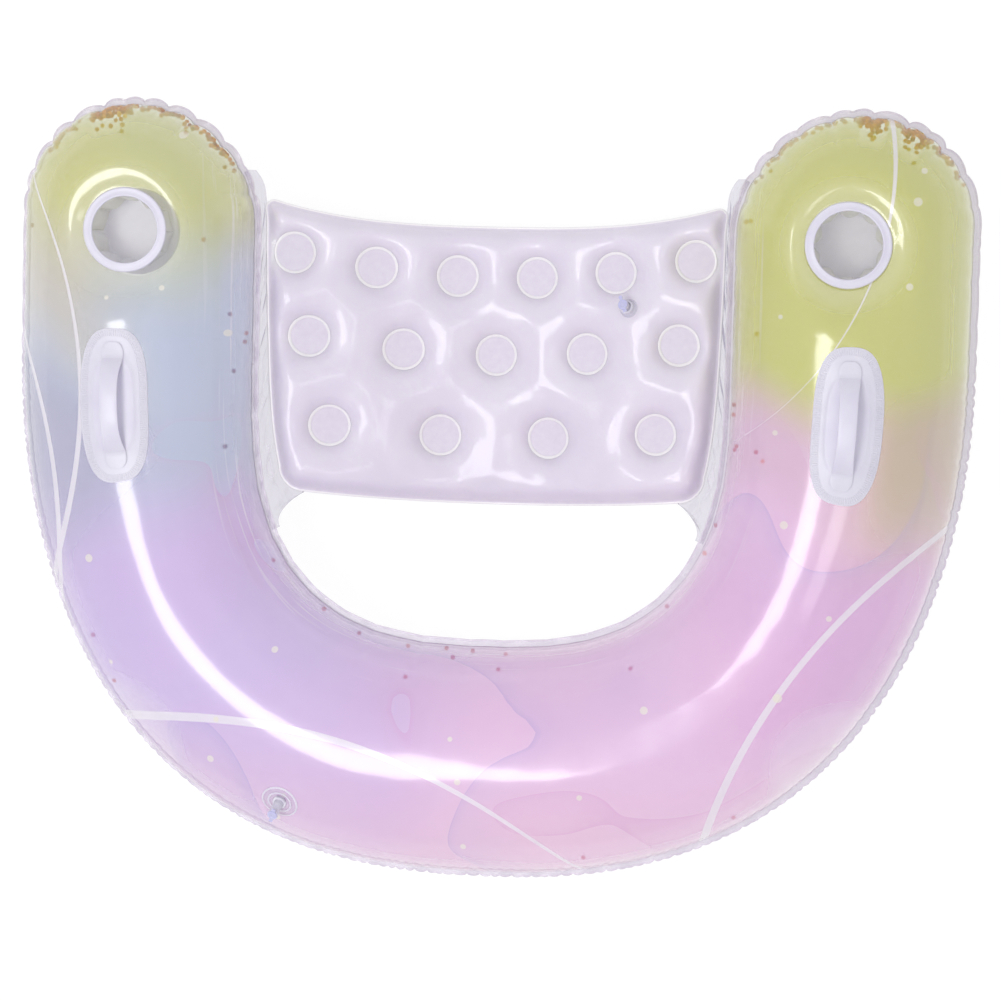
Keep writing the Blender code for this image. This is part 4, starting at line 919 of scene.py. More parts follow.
mid = seat_mid(lifted[:, 0], lifted[:, 1])
upper = np.stack((lifted[:, 0], lifted[:, 1], mid + film_gap / 2 + film + lifted[:, 2]), axis=1)
lower_z = mid - film_gap / 2 - film - under_share * lifted[:, 2]
lower = np.stack((lifted[:, 0], lifted[:, 1], lower_z), axis=1)
in_hole = np.hypot(plan_x - seat_valve[0], plan_y - seat_valve[1]) < seat_hole + 0.0001
half_count = len(plan)
seat_faces = [face for face in plan_faces if not all(in_hole[v] for v in face)]
seat_faces += [tuple(v + half_count for v in reversed(face)) for face in plan_faces]
uses = {}
for face in plan_faces:
    for a, b in zip(face, face[1:] + face[:1]):
        uses[(a, b)] = uses.get((b, a), 0) + 1
rim_edges = [(a, b) for (a, b) in uses if (b, a) not in uses]
seat_faces += [(b, a, a + half_count, b + half_count) for a, b in rim_edges]

# Milky PVC film: a little white pigment in soft vinyl scatters the light inside it, so it glows pale
# lilac where it is lit and keeps a sharp gloss, with faint tension lines from the blowing up.
milky_film, add = new_finish("calendered_pvc_film_milky")
place = add("TexCoord").outputs["Object"]
fine = add("TexNoise", {"Vector": place, "Scale": 60.0, "Detail": 2.0})
broad = add("TexNoise", {"Vector": place, "Scale": 19.0, "Detail": 1.0})
relief = add("Math", {0: fine, 1: 0.4, 2: broad}, operation="MULTIPLY_ADD")
taut = add("Bump", {"Height": relief, "Strength": 0.60, "Distance": 0.003})
milk = add("Mix", {0: broad, 6: colour("#E1DAE8"), 7: colour("#EBE5EF")}, data_type="RGBA")
shader = add("BsdfPrincipled", {
    "Base Color": milk, "Roughness": 0.34, "IOR": 1.53, "Specular IOR Level": 0.3, "Normal": taut,
    "Subsurface Weight": 0.6, "Subsurface Radius": (0.012, 0.011, 0.013), "Subsurface Scale": 1.0,
    "Coat Weight": 0.36, "Coat Roughness": 0.05,
})
add("OutputMaterial", {0: shader})

# Heat-pressed PVC: inside each weld the two sheets were fused flat by the press, which dulled their gloss
# and left a fine grain.
pressed_disc = clouded_vinyl(
    "heat_pressed_pvc_disc", 130.0, 3.0, "#DAD2E1", "#E6DFEA", (0.3, 0.0008),
    Roughness=0.55, IOR=1.5, Specular_IOR_Level=0.3)

# Fused PVC: pressed by the hot tool until it turned creamy and satin. It is the cut edge of the lip and
# the bead round each spot.
fused_pvc = clouded_vinyl(
    "heat_fused_pvc", 240.0, 2.0, "#F1EDF1", "#FAF8F8", (0.25, 0.0006),
    Roughness=0.34, IOR=1.53, Coat_Weight=0.3, Coat_Roughness=0.2)

seat_mat = make_piece("seat_mat", np.concatenate((upper, lower)), seat_faces, milky_film)
seat_mat.data.materials.append(pressed_disc)
seat_mat.data.materials.append(fused_pvc)
middles = np.zeros(len(seat_mat.data.polygons) * 3)
seat_mat.data.polygons.foreach_get("center", middles)
middles = middles.reshape(-1, 3)[:, :2]
from_spot = np.min(np.hypot(middles[:, :1] - spots[:, 0], middles[:, 1:] - spots[:, 1]), axis=1)
on_lip = to_loop(chamber_loop, middles[:, 0], middles[:, 1]) < 0.0
on_cut = to_loop(seat_outline(0.0), middles[:, 0], middles[:, 1]) < lip_trim
layers = ((from_spot < spot_radius) | on_lip).astype(np.int32) + on_cut.astype(np.int32)
seat_mat.data.polygons.foreach_set("material_index", layers)
finer = seat_mat.modifiers.new("smooth film", "SUBSURF")
finer.levels = finer.render_levels = 1
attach(seat_mat, "float")
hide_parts("seat_top_panel", "seat_bottom_panel")

# Spot welds.
# A heated ring fuses both sheets of the mat at each spot: a pale, slightly raised bead of vinyl, about
# 4 mm wide, round a flat disc that the air can't lift.

def drape(add, geometry, target):
    """Drop each point straight down onto the target, keeping its own height above it."""
    film_below = add("GeometryNodeObjectInfo", {"Object": target})
    position = add("InputPosition")
    here = add("SeparateXYZ", {0: position}).outputs
    above = add("CombineXYZ", {0: here["X"], 1: here["Y"], 2: 1.0})
    hit = add("Raycast", {
        "Target Geometry": film_below.outputs["Geometry"], "Source Position": above,
        "Ray Direction": (0.0, 0.0, -1.0), "Ray Length": 2.0,
    })
    landing = add("SeparateXYZ", {0: hit.outputs["Hit Position"]}).outputs["Z"]
    height = add("Math", {0: landing, 1: here["Z"]}, operation="ADD")
    laid = add("CombineXYZ", {0: here["X"], 1: here["Y"], 2: height})
    return add("SetPosition", {"Geometry": geometry, "Selection": hit.outputs["Is Hit"], "Position": laid})


spot_tree, add, given = new_tree("spot_welds", (
    ("Ring radius", "Float"), ("Bead width", "Float"), ("Bead height", "Float"),
    ("Film", "Object"), ("Vinyl", "Material"),
))
ring_path = add("CurvePrimitiveCircle", {"Resolution": 64, "Radius": given["Ring radius"]})
round_bead = add("CurvePrimitiveCircle", {"Resolution": 10, "Radius": 0.5})
bead_size = add("CombineXYZ", {0: given["Bead width"], 1: given["Bead height"], 2: 1.0})
flat_bead = add("Transform", {"Geometry": round_bead, "Scale": bead_size})
bead = add("CurveToMesh", {"Curve": ring_path, "Profile Curve": flat_bead})
stamped = add("InstanceOnPoints", {"Points": given["Geometry"], "Instance": bead})
real = add("RealizeInstances", {0: stamped})
soft = add("SetShadeSmooth", {"Geometry": drape(add, real, given["Film"])})
coated = add("SetMaterial", {"Geometry": soft, "Material": given["Vinyl"]})
add("NodeGroupOutput", {0: coated})
carrier = make_piece("spot_carrier", [(x, y, 0.0) for x, y in spots], [], fused_pvc)
spot_rings = grow("spot_welds", carrier, spot_tree, {
    "Ring radius": 0.0252, "Bead width": 0.0036, "Bead height": 0.0020,
    "Film": seat_mat, "Vinyl": fused_pvc,
})
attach(spot_rings, "float")

# Seat webs.
# Two strips of clear PVC film, 0.35 mm thick, that hang the mat in the opening: welded under the tube's
# inner lip and under the mat's side lip. The mat's pull draws them into slanting folds.

# The same clear film, drawn into slanting folds, whose streaks are painted white and denser as painted
# highlights where they would catch the light.
creased_film, add = new_finish("calendered_pvc_film_creased")
web_uv = add("UVMap", uv_map="film_metres")
slanted = add("Mapping", {"Vector": web_uv, "Rotation": (0.0, 0.0, 0.9), "Scale": (9.0, 60.0, 1.0)})
streaks = add("TexNoise", {"Vector": slanted, "Scale": 1.0, "Detail": 1.5})
# Painted highlight: the fold streaks are painted white.
white = add("MapRange", {"Value": streaks, "From Min": 0.50, "From Max": 0.68})
drawn = add("Bump", {"Height": streaks, "Strength": 0.5, "Distance": 0.002})
film_tint = add("Mix", {0: white, 6: colour("#B7ADCC"), 7: colour("#F1EDF8")}, data_type="RGBA")
dense = add("Math", {0: white, 1: 0.18, 2: 0.21}, operation="MULTIPLY_ADD")
shader = add("BsdfPrincipled", {
    "Base Color": film_tint, "Roughness": 0.22, "IOR": 1.53, "Alpha": dense, "Normal": drawn,
    "Coat Weight": 0.5, "Coat Roughness": 0.08,
})
add("OutputMaterial", {0: shader})

web_film = 0.00035
web_hem = 0.002
web_row = 0.0034              # from one section of a web to the next, in the flat
web_tip, web_tail = 0.036, 0.046                  # how far it runs past the mat at either end
fold_pitch, fine_pitch, fold_height = 0.0330, 0.0210, 0.0018
under_tube = seam_z - film_gap / 2 - film - film_gap


def tube_edge(y):
    """Edge of the tube's lip at this Y and the direction from it to the opening."""
    slope = (inner_edge(y + 0.002) - inner_edge(y - 0.002)) / 0.004
    size = math.hypot(1.0, slope)
    return np.array((inner_edge(y), y)), np.array((-1.0 / size, slope / size))


def under_seat(x, y):
    return seat_mid(x, y) - film_gap / 2 - film - film_gap


side_run = np.linspace(front_corner[1], rear_corner[1], 96)[:-1]
side_points = np.concatenate((
    np.stack((seat_half(side_run), side_run), axis=1), corner_arc(rear_corner, rear_round, 0.0, -90.0, 24),
))
lip_points = np.concatenate((
    np.stack((seat_half(side_run) - seat_lip + web_hem, side_run), axis=1),
    corner_arc(rear_corner, rear_round - seat_lip + web_hem, 0.0, -90.0, 24),
))
tip_y = front_corner[1] + front_round + web_tip
front_at = np.array((side_points[0][0] + web_hem / 4, front_corner[1] + front_round))
tail_y = side_points[-1][1] - web_tail / 2
end_y = side_points[-1][1] - web_tail
web_rows = []                 # tube side, tube edge, lower edge and lower hem of each section
for i in range(14):
    y = tip_y + (front_at[1] - tip_y) * i / 14
    share = (1 + 3 * i / 14) / 4
    edge, inward = tube_edge(y)
    low = np.array((edge[0] + (front_at[0] - edge[0]) * (0.35 + 0.65 * math.sin(math.pi * i / 28)), y))
    z = under_tube + (under_seat(*side_points[0]) - under_tube) * share
    beyond = low + (low - edge) / np.linalg.norm(low - edge) * web_hem
    web_rows.append((edge, inward, low, z, beyond, z))
for i, (outer, inner) in enumerate(zip(side_points, lip_points)):
    y = outer[1]
    if i > 95:
        y = rear_corner[1] + (tail_y - rear_corner[1]) * (i - 95) / 24
    edge, inward = tube_edge(y)
    away = (outer - inner) / np.linalg.norm(outer - inner)
    low = outer + away * web_hem / 4
    web_rows.append((edge, inward, low, under_seat(*outer), inner, under_seat(*inner)))
for i in range(1, 25):
    y = tail_y + (end_y - tail_y) * i / 24
    share = (1.0 - i / 24) ** 3
    edge, inward = tube_edge(y)
    low = edge + inward * web_hem
    low = low + (side_points[-1] - low) * share
    z = under_tube + (under_seat(*side_points[-1]) - under_tube) * share
    beyond = low + (low - edge) / np.linalg.norm(low - edge) * web_hem
    web_rows.append((edge, inward, low, z, beyond, z))
web_steps = 14
both_sides = (("left", -1.0), ("right", 1.0))
for name, sign in both_sides:
    points, spread = [], []
    for i, (edge, inward, low, low_z, beyond, beyond_z) in enumerate(web_rows):
        top_in = edge - inward * (weld_lip - web_hem)
        top = edge + inward * web_hem / 4
        start, stop = np.array((*top, under_tube)), np.array((*low, low_z))
        width = np.linalg.norm(stop - start)
        lift = np.array(((stop - start)[2], 0.0, -(stop - start)[0]))
        lift = lift / max(np.linalg.norm(lift), 1e-6)
        run = i * web_row
        points.append((top_in[0], top_in[1], under_tube))
        spread.append((run, -weld_lip))
        for k in range(web_steps + 1):
            c = k / web_steps
            fold = math.sin(2 * math.pi * (run / fold_pitch + 1.2 * c) + sign + 1.3 * math.sin(run / 0.041))
            fold += 0.5 * math.sin(2 * math.pi * (run / fine_pitch + 1.7 * c) + 2.1 * sign)
            height = fold_height * fold * math.sin(math.pi * c) ** 0.6 * min(width / 0.02, 1.0)
            points.append(tuple(start + (stop - start) * c + lift * height))
            spread.append((run, width * c))
        points.append((beyond[0], beyond[1], beyond_z))
        spread.append((run, width + web_hem))
    faces = [face[::int(sign)] for face in woven(len(web_rows), web_steps + 3, False, False)]
    web = make_piece(name + "_web", [(sign * x, y, z) for x, y, z in points], faces, creased_film, spread)
    if sum(face.normal.z for face in web.data.polygons) < 0.0:
        web.data.flip_normals()
    film_wall(web, web_film)
    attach(web, "float")
    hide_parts(name + "_seat_web")

# Cup holders.
# Each is three pieces of white PVC welded together: a moulded ring on the film, a wall of ten panels
# whose welded creases stand upright while the air bulges the panels inwards, and a flat floor disc.

cup_mouth = 0.0415            # radius
cup_body = 0.045
cup_depth = 0.070
cup_panels = 10
cup_wall_thick = 0.0006
cup_bulge = 0.0078            # of a panel, at its middle
floor_flange, floor_raised = 0.0546, 0.0393       # radii of the disc and of its raised middle


def lathe(profile, steps, where=Matrix.Identity(4)):
    """Points and faces of a closed loop of (radius, height) turned about Z; radius 0 makes a pole."""
    points, faces, rings = [], [], []
    for radius, height in profile:
        first = len(points)
        if radius == 0.0:
            points.append(where @ Vector((0.0, 0.0, height)))
            rings.append([first] * steps)
            continue
        for k in range(steps):
            turned = 2 * math.pi * k / steps
            points.append(where @ Vector((radius * math.cos(turned), radius * math.sin(turned), height)))
        rings.append(list(range(first, first + steps)))
    for low, high in zip(rings, rings[1:] + rings[:1]):
        for k in range(steps):
            face = []
            for v in (low[k - 1], low[k], high[k], high[k - 1]):
                if v not in face:
                    face.append(v)
            if len(face) > 2:
                faces.append(tuple(face))
    return points, faces


def outward(piece):
    """Turn every face of a closed piece outwards."""
    shell = bmesh.new()
    shell.from_mesh(piece.data)
    bmesh.ops.recalc_face_normals(shell, faces=shell.faces)
    shell.to_mesh(piece.data)
    shell.free()
    piece.data.set_sharp_from_angle(angle=math.radians(42))
    return piece


# Calendered and injection-moulded white PVC, tinted a little violet: satin, with a fine pebble from the
# mould (drawn ten times as coarse as it is) and a broad uneven relief. Its colour is painted darker where
# that relief lies low, as painted shade of its uneven lie.
white_vinyl, add = new_finish("soft_white_pvc_moulded")
place = add("TexCoord").outputs["Object"]
pebble = add("TexNoise", {"Vector": place, "Scale": 420.0, "Detail": 1.0})
sway = add("TexNoise", {"Vector": place, "Scale": 34.0, "Detail": 1.0})
# Painted shade: darker where the broad relief lies low.
vinyl = add("Mix", {0: sway, 6: colour("#D8D4E4"), 7: colour("#E5E2EE")}, data_type="RGBA")
relief = add("Math", {0: pebble, 1: 0.12, 2: sway}, operation="MULTIPLY_ADD")
uneven = add("Bump", {"Height": relief, "Strength": 0.3, "Distance": 0.001})
shader = add("BsdfPrincipled", {
    "Base Color": vinyl, "Roughness": 0.42, "IOR": 1.53, "Normal": uneven,
    "Subsurface Weight": 0.2, "Subsurface Radius": (0.006, 0.0055, 0.007), "Subsurface Scale": 0.4,
    "Coat Weight": 0.15, "Coat Roughness": 0.22,
})
add("OutputMaterial", {0: shader})

# The same vinyl as thin film for the cups: light comes through it from the clear tube all round. Its
# subsurface lets some through, and its base colour is painted paler than the moulded vinyl as painted
# light for the rest, so the inside of a cup stays pale.
cup_film = clouded_vinyl(
    "white_pvc_film_welded", 60.0, 2.0, "#EFEDF2", "#F8F7FA", (0.25, 0.001), Roughness=0.38, IOR=1.53,
    Subsurface_Weight=0.9, Subsurface_Radius=(0.012, 0.012, 0.013), Subsurface_Scale=1.0,
    Coat_Weight=0.15, Coat_Roughness=0.2)

for name, sign in both_sides:
    seat_of_cup = Matrix.Translation((sign * cup_x, cup_y, cup_z + film_gap))
    rim = [
        (0.0006, 0.0), (0.0, 0.0011), (0.0003, 0.0022), (0.0010, 0.0029), (0.0020, 0.0030),
        (0.0029, 0.0026), (0.0038, 0.0023), (0.0085, 0.0022), (0.0096, 0.0025), (0.0107, 0.0020),
        (0.0115, 0.0009), (0.0115, 0.0),
    ]
    points, faces = lathe([(cup_mouth + r, h) for r, h in rim], 128, seat_of_cup)
    ring_piece = outward(make_piece(name + "_cup_ring", points, faces, white_vinyl))
    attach(ring_piece, "float")
    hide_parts(name + "_cup_rim")

    neck = cup_mouth + film_gap
    levels = np.concatenate((np.linspace(0.0, 0.12, 5)[:-1], np.linspace(0.12, 1.0, 22)))
    steps = 200
    round_turn = 2 * math.pi * np.arange(steps) / steps
    in_panel = np.abs(np.sin(cup_panels * round_turn / 2))
    panel = (cup_panels * round_turn / (2 * math.pi)).astype(int)
    firm = cup_bulge * (0.88 + 0.20 * np.sin(3.1 * panel + sign))
    skins = []
    for grow_by, downwards in ((cup_wall_thick, 1), (0.0, -1)):
        for level in levels[::downwards]:
            spread = smooth(level / 0.18)
            bulge = firm * math.sin(math.pi * level) ** 0.8 if 0.0 < level < 1.0 else 0.0
            flat = cup_body * (1.0 - in_panel * (1.0 - math.cos(math.pi / cup_panels)))
            radius = neck + (flat - bulge * in_panel ** 0.6 - neck) * spread + grow_by
            height = np.full(steps, cup_z - (cup_depth - film_gap) * level)
            skins.append(np.stack((
                sign * cup_x + radius * np.cos(round_turn), cup_y + radius * np.sin(round_turn), height,
            ), axis=1))
    faces = woven(len(skins), steps)
    wall = outward(make_piece(name + "_cup_panels", np.concatenate(skins), faces, cup_film))
    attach(wall, "float")
    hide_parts(name + "_cup_wall")

    flange = -cup_depth - 2 * film_gap
    floor = [
        (0.0, flange - 0.0006), (floor_flange, flange - 0.0006), (floor_flange, flange),
        (floor_raised, flange), (floor_raised - 0.0004, flange + 0.0004), (0.0, flange + 0.0004),
    ]
    points, faces = lathe(floor, 96, seat_of_cup)
    disc = outward(make_piece(name + "_cup_disc", points, faces, cup_film))
    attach(disc, "float")
    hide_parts(name + "_cup_floor")

# Grab handles.
# An oval patch of thick white PVC, 192 by 86 mm, is welded to the film by a ribbed bar all round its
# edge, and a moulded strap is welded to it at both ends and arches over the patch for the fingers.

patch_length, patch_width = 0.192, 0.086
patch_thick, patch_pad, weld_band = 0.0008, 0.0010, 0.016
strap_length, strap_rise, strap_waist, strap_flare = 0.157, 0.021, 0.0225, 0.0055
strap_weld = 0.020            # length of each flat end
strap_thin, strap_swell = 0.0004, 0.0028
rib_inset = 0.0058


def film_height(x, y, s, across):
    """Height of the tube's film at a centreline distance and a distance across it."""
    chamber = half_width(line_at(s)[1]) - weld_lip
    return cup_landing(x, y, seam_z + crown * np.sqrt(np.clip(1.0 - (across / chamber) ** 2, 0.0, 1.0)))


def on_handle(sign, along, across):
    """Plan place, and height of the film there, from the handle's centre."""
    s = handle_s - along
    x, y, nx, ny = line_at(s)
    px, py = x + nx * across, y + ny * across
    return sign * px, py, film_height(px, py, s, across)


rib_tree, add, given = new_tree("weld_ribs", (
    ("Rib pitch", "Float"), ("Rib length", "Float"), ("Rib width", "Float"), ("Rib height", "Float"),
    ("Patch", "Object"), ("Vinyl", "Material"),
))
path = add("MeshToCurve", {0: given["Geometry"]})
spaced = add("ResampleCurve", {"Curve": path, "Length": given["Rib pitch"]}, mode="LENGTH")
heading = add("InputTangent")
facing = add("AlignRotationToVector", {"Vector": heading}, axis="X", pivot_axis="Z")
rib_out = add("Math", {0: given["Rib length"], 1: 0.5}, operation="MULTIPLY")
rib_in = add("Math", {0: given["Rib length"], 1: -0.5}, operation="MULTIPLY")
rib_line = add("CurvePrimitiveLine", {
    "Start": add("CombineXYZ", {1: rib_out}),
    "End": add("CombineXYZ", {1: rib_in}),
})
rib_run = add("ResampleCurve", {"Curve": rib_line, "Count": 4})
rib_round = add("CurvePrimitiveCircle", {"Resolution": 8, "Radius": 0.5})
rib_size = add("CombineXYZ", {0: given["Rib width"], 1: given["Rib height"], 2: 1.0})
rib_section = add("Transform", {"Geometry": rib_round, "Scale": rib_size})
rib = add("CurveToMesh", {"Curve": rib_run, "Profile Curve": rib_section, "Fill Caps": True})
ribs = add("InstanceOnPoints", {"Points": spaced, "Instance": rib, "Rotation": facing})
real = add("RealizeInstances", {0: ribs})
soft = add("SetShadeSmooth", {"Geometry": drape(add, real, given["Patch"])})
coated = add("SetMaterial", {"Geometry": soft, "Material": given["Vinyl"]})
add("NodeGroupOutput", {0: coated})


def oval(half_length, half_width, angles):
    """Points of the rounded, blunt-ended oval that the patch is cut to."""
    power = 2.0 / 2.9
    return (half_length * np.sign(np.cos(angles)) * np.abs(np.cos(angles)) ** power,
            half_width * np.sign(np.sin(angles)) * np.abs(np.sin(angles)) ** power)


for name, sign in both_sides:
    steps = 120
    oval_turn = 2 * math.pi * np.arange(steps) / steps
    inner_share = 1.0 - weld_band / (patch_width / 2)
    rows = [(0.001, 1.0)] + [(inner_share * f, 1.0) for f in (0.2, 0.4, 0.6, 0.75, 0.86, 0.94)]
    rows += [(inner_share * 0.98, 0.86), (inner_share + 0.01, 0.42), (inner_share + 0.035, 0.08)]
    rows += [(inner_share + (1 - inner_share) * f, 0.0) for f in (0.25, 0.45, 0.65, 0.85, 0.96)]
    rows += [(0.992, -0.25), (1.0, -0.55)]
    skins = []
    for top_side, outwards in ((True, 1), (False, -1)):
        for share, pad in rows[::outwards]:
            along, across = oval(share * patch_length / 2, share * patch_width / 2, oval_turn)
            x, y, z = on_handle(sign, along, across)
            rise = patch_thick + patch_pad * pad if top_side else 0.0
            skins.append(np.stack((x, y, z + film_gap + np.maximum(rise, 0.0)), axis=1))
    faces = woven(len(skins), steps, rows_close=False)
    faces += [tuple(range(steps)), tuple(range((len(skins) - 1) * steps, len(skins) * steps))]
    patch_piece = outward(make_piece(name + "_handle_patch", np.concatenate(skins), faces, white_vinyl))
    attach(patch_piece, "float")
    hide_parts(name + "_handle_base")

    loop_steps = 480
    loop_turn = 2 * math.pi * np.arange(loop_steps) / loop_steps
    along, across = oval(patch_length / 2 - rib_inset, patch_width / 2 - rib_inset, loop_turn)
    x, y, _ = on_handle(sign, along, across)
    carrier = make_piece("rib_carrier", np.stack((x, y, 0.0 * x), axis=1), [], white_vinyl)
    carrier.data.edges.add(loop_steps)
    carrier.data.edges.foreach_set(
        "vertices", [v for k in range(loop_steps) for v in (k, (k + 1) % loop_steps)])
    rib_piece = grow(name + "_handle_weld_ribs", carrier, rib_tree, {
        "Rib pitch": 0.0027, "Rib length": 0.0080, "Rib width": 0.0017, "Rib height": 0.0007,
        "Patch": patch_piece, "Vinyl": white_vinyl,
    })
    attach(rib_piece, "float")

    half = strap_length / 2
    arch = half - strap_weld
    stations_along = np.concatenate((
        (-half, -half + 0.0006, -half + 0.002, -half + 0.005, -half + 0.009, -half + 0.014),
        arch * np.sin(np.radians(np.linspace(-90, 90, 61))),
        (half - 0.014, half - 0.009, half - 0.005, half - 0.002, half - 0.0006, half),
    ))
    section_turn = 2 * math.pi * np.arange(20) / 20
    flat_power = 0.55
    section = np.stack((
        0.5 * np.sign(np.cos(section_turn)) * np.abs(np.cos(section_turn)) ** flat_power,
        0.5 + 0.5 * np.sign(np.sin(section_turn)) * np.abs(np.sin(section_turn)) ** flat_power,
    ), axis=1)
    strap = []
    for along in stations_along:
        share = min(abs(along) / arch, 1.0)
        lift = strap_rise * (1.0 - share ** 2.6)
        width = strap_waist + strap_flare * float(smooth((abs(along) / half - 0.40) / 0.50))
        end_ease = math.sqrt(max(1.0 - max((abs(along) - half + 0.014) / 0.0145, 0.0) ** 2, 0.0))
        thick = strap_thin + strap_swell * float(smooth((half - 0.006 - abs(along)) / 0.034))
        for across, up in section:
            x, y, z = on_handle(sign, along, across * width * (0.25 + 0.75 * end_ease))
            strap.append((x, y, z + film_gap + patch_thick + patch_pad + film_gap + lift + up * thick))
    sides = len(section)
    faces = [tuple(range(sides)), tuple(range(len(strap) - sides, len(strap)))]
    faces += woven(len(stations_along), sides, rows_close=False)
    strap_piece = outward(make_piece(name + "_handle_strap", strap, faces, white_vinyl))
    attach(strap_piece, "float")
    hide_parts(name + "_handle_grip")

# Valves.
# Soft moulded PVC: a flange welded on the film with a collar, a stem that pushes in through it, a stopper
# on a strap that plugs the stem, and a check flap under its bore. The mat has a small one of the same kind.

# Injection-moulded soft PVC, left unpigmented: cloudy and a little violet, glossy where it was handled.
valve_vinyl = clouded_vinyl(
    "soft_clear_pvc_moulded", 190.0, 2.0, "#E6E3F6", "#F8F6FD",
    Roughness=0.24, IOR=1.52, Alpha=0.72, Coat_Weight=0.5, Coat_Roughness=0.1)

# The same compound pressed thin for the flange: nearly clear, so the print shows through it.
flange_vinyl = clouded_vinyl(
    "soft_clear_pvc_flange", 120.0, 2.0, "#DDD9EC", "#F4F2FA",
    Roughness=0.2, IOR=1.52, Alpha=0.10, Coat_Weight=0.6, Coat_Roughness=0.08)

# The same compound with a bluish dye, for the stoppers and flaps: denser, with a waxy sheen.
stopper_vinyl = clouded_vinyl(
    "soft_blue_pvc_moulded", 260.0, 2.0, "#BDBCE6", "#D3D1F0", Roughness=0.27, IOR=1.52,
    Subsurface_Weight=0.2, Subsurface_Radius=(0.004, 0.004, 0.006), Subsurface_Scale=0.5,
    Coat_Weight=0.4, Coat_Roughness=0.12)

joints = {joint["name"]: joint for joint in frame["joints"]}
stem_radius, stem_bore, stem_lip = 0.006, 0.0035, 0.001
stem_tail, tether_reach, tether_thick, tether_half = 0.0075, 0.010, 0.0009, 0.0025


def plate(outline, low, high, where):
    """Points and faces of a flat outline given a thickness."""
    count = len(outline)
    points = [where @ Vector((x, y, z)) for z in (low, high) for x, y in outline]
    faces = [tuple(range(count)), tuple(range(count, 2 * count))]
    faces += [(a, (a + 1) % count, (a + 1) % count + count, a + count) for a in range(count)]
    return points, faces


def together(*parts):
    """Join the points and faces of several closed bodies."""
    points, faces = [], []
    for part_points, part_faces in parts:
        shift = len(points)
        points += list(part_points)
        faces += [tuple(v + shift for v in face) for face in part_faces]
    return points, faces


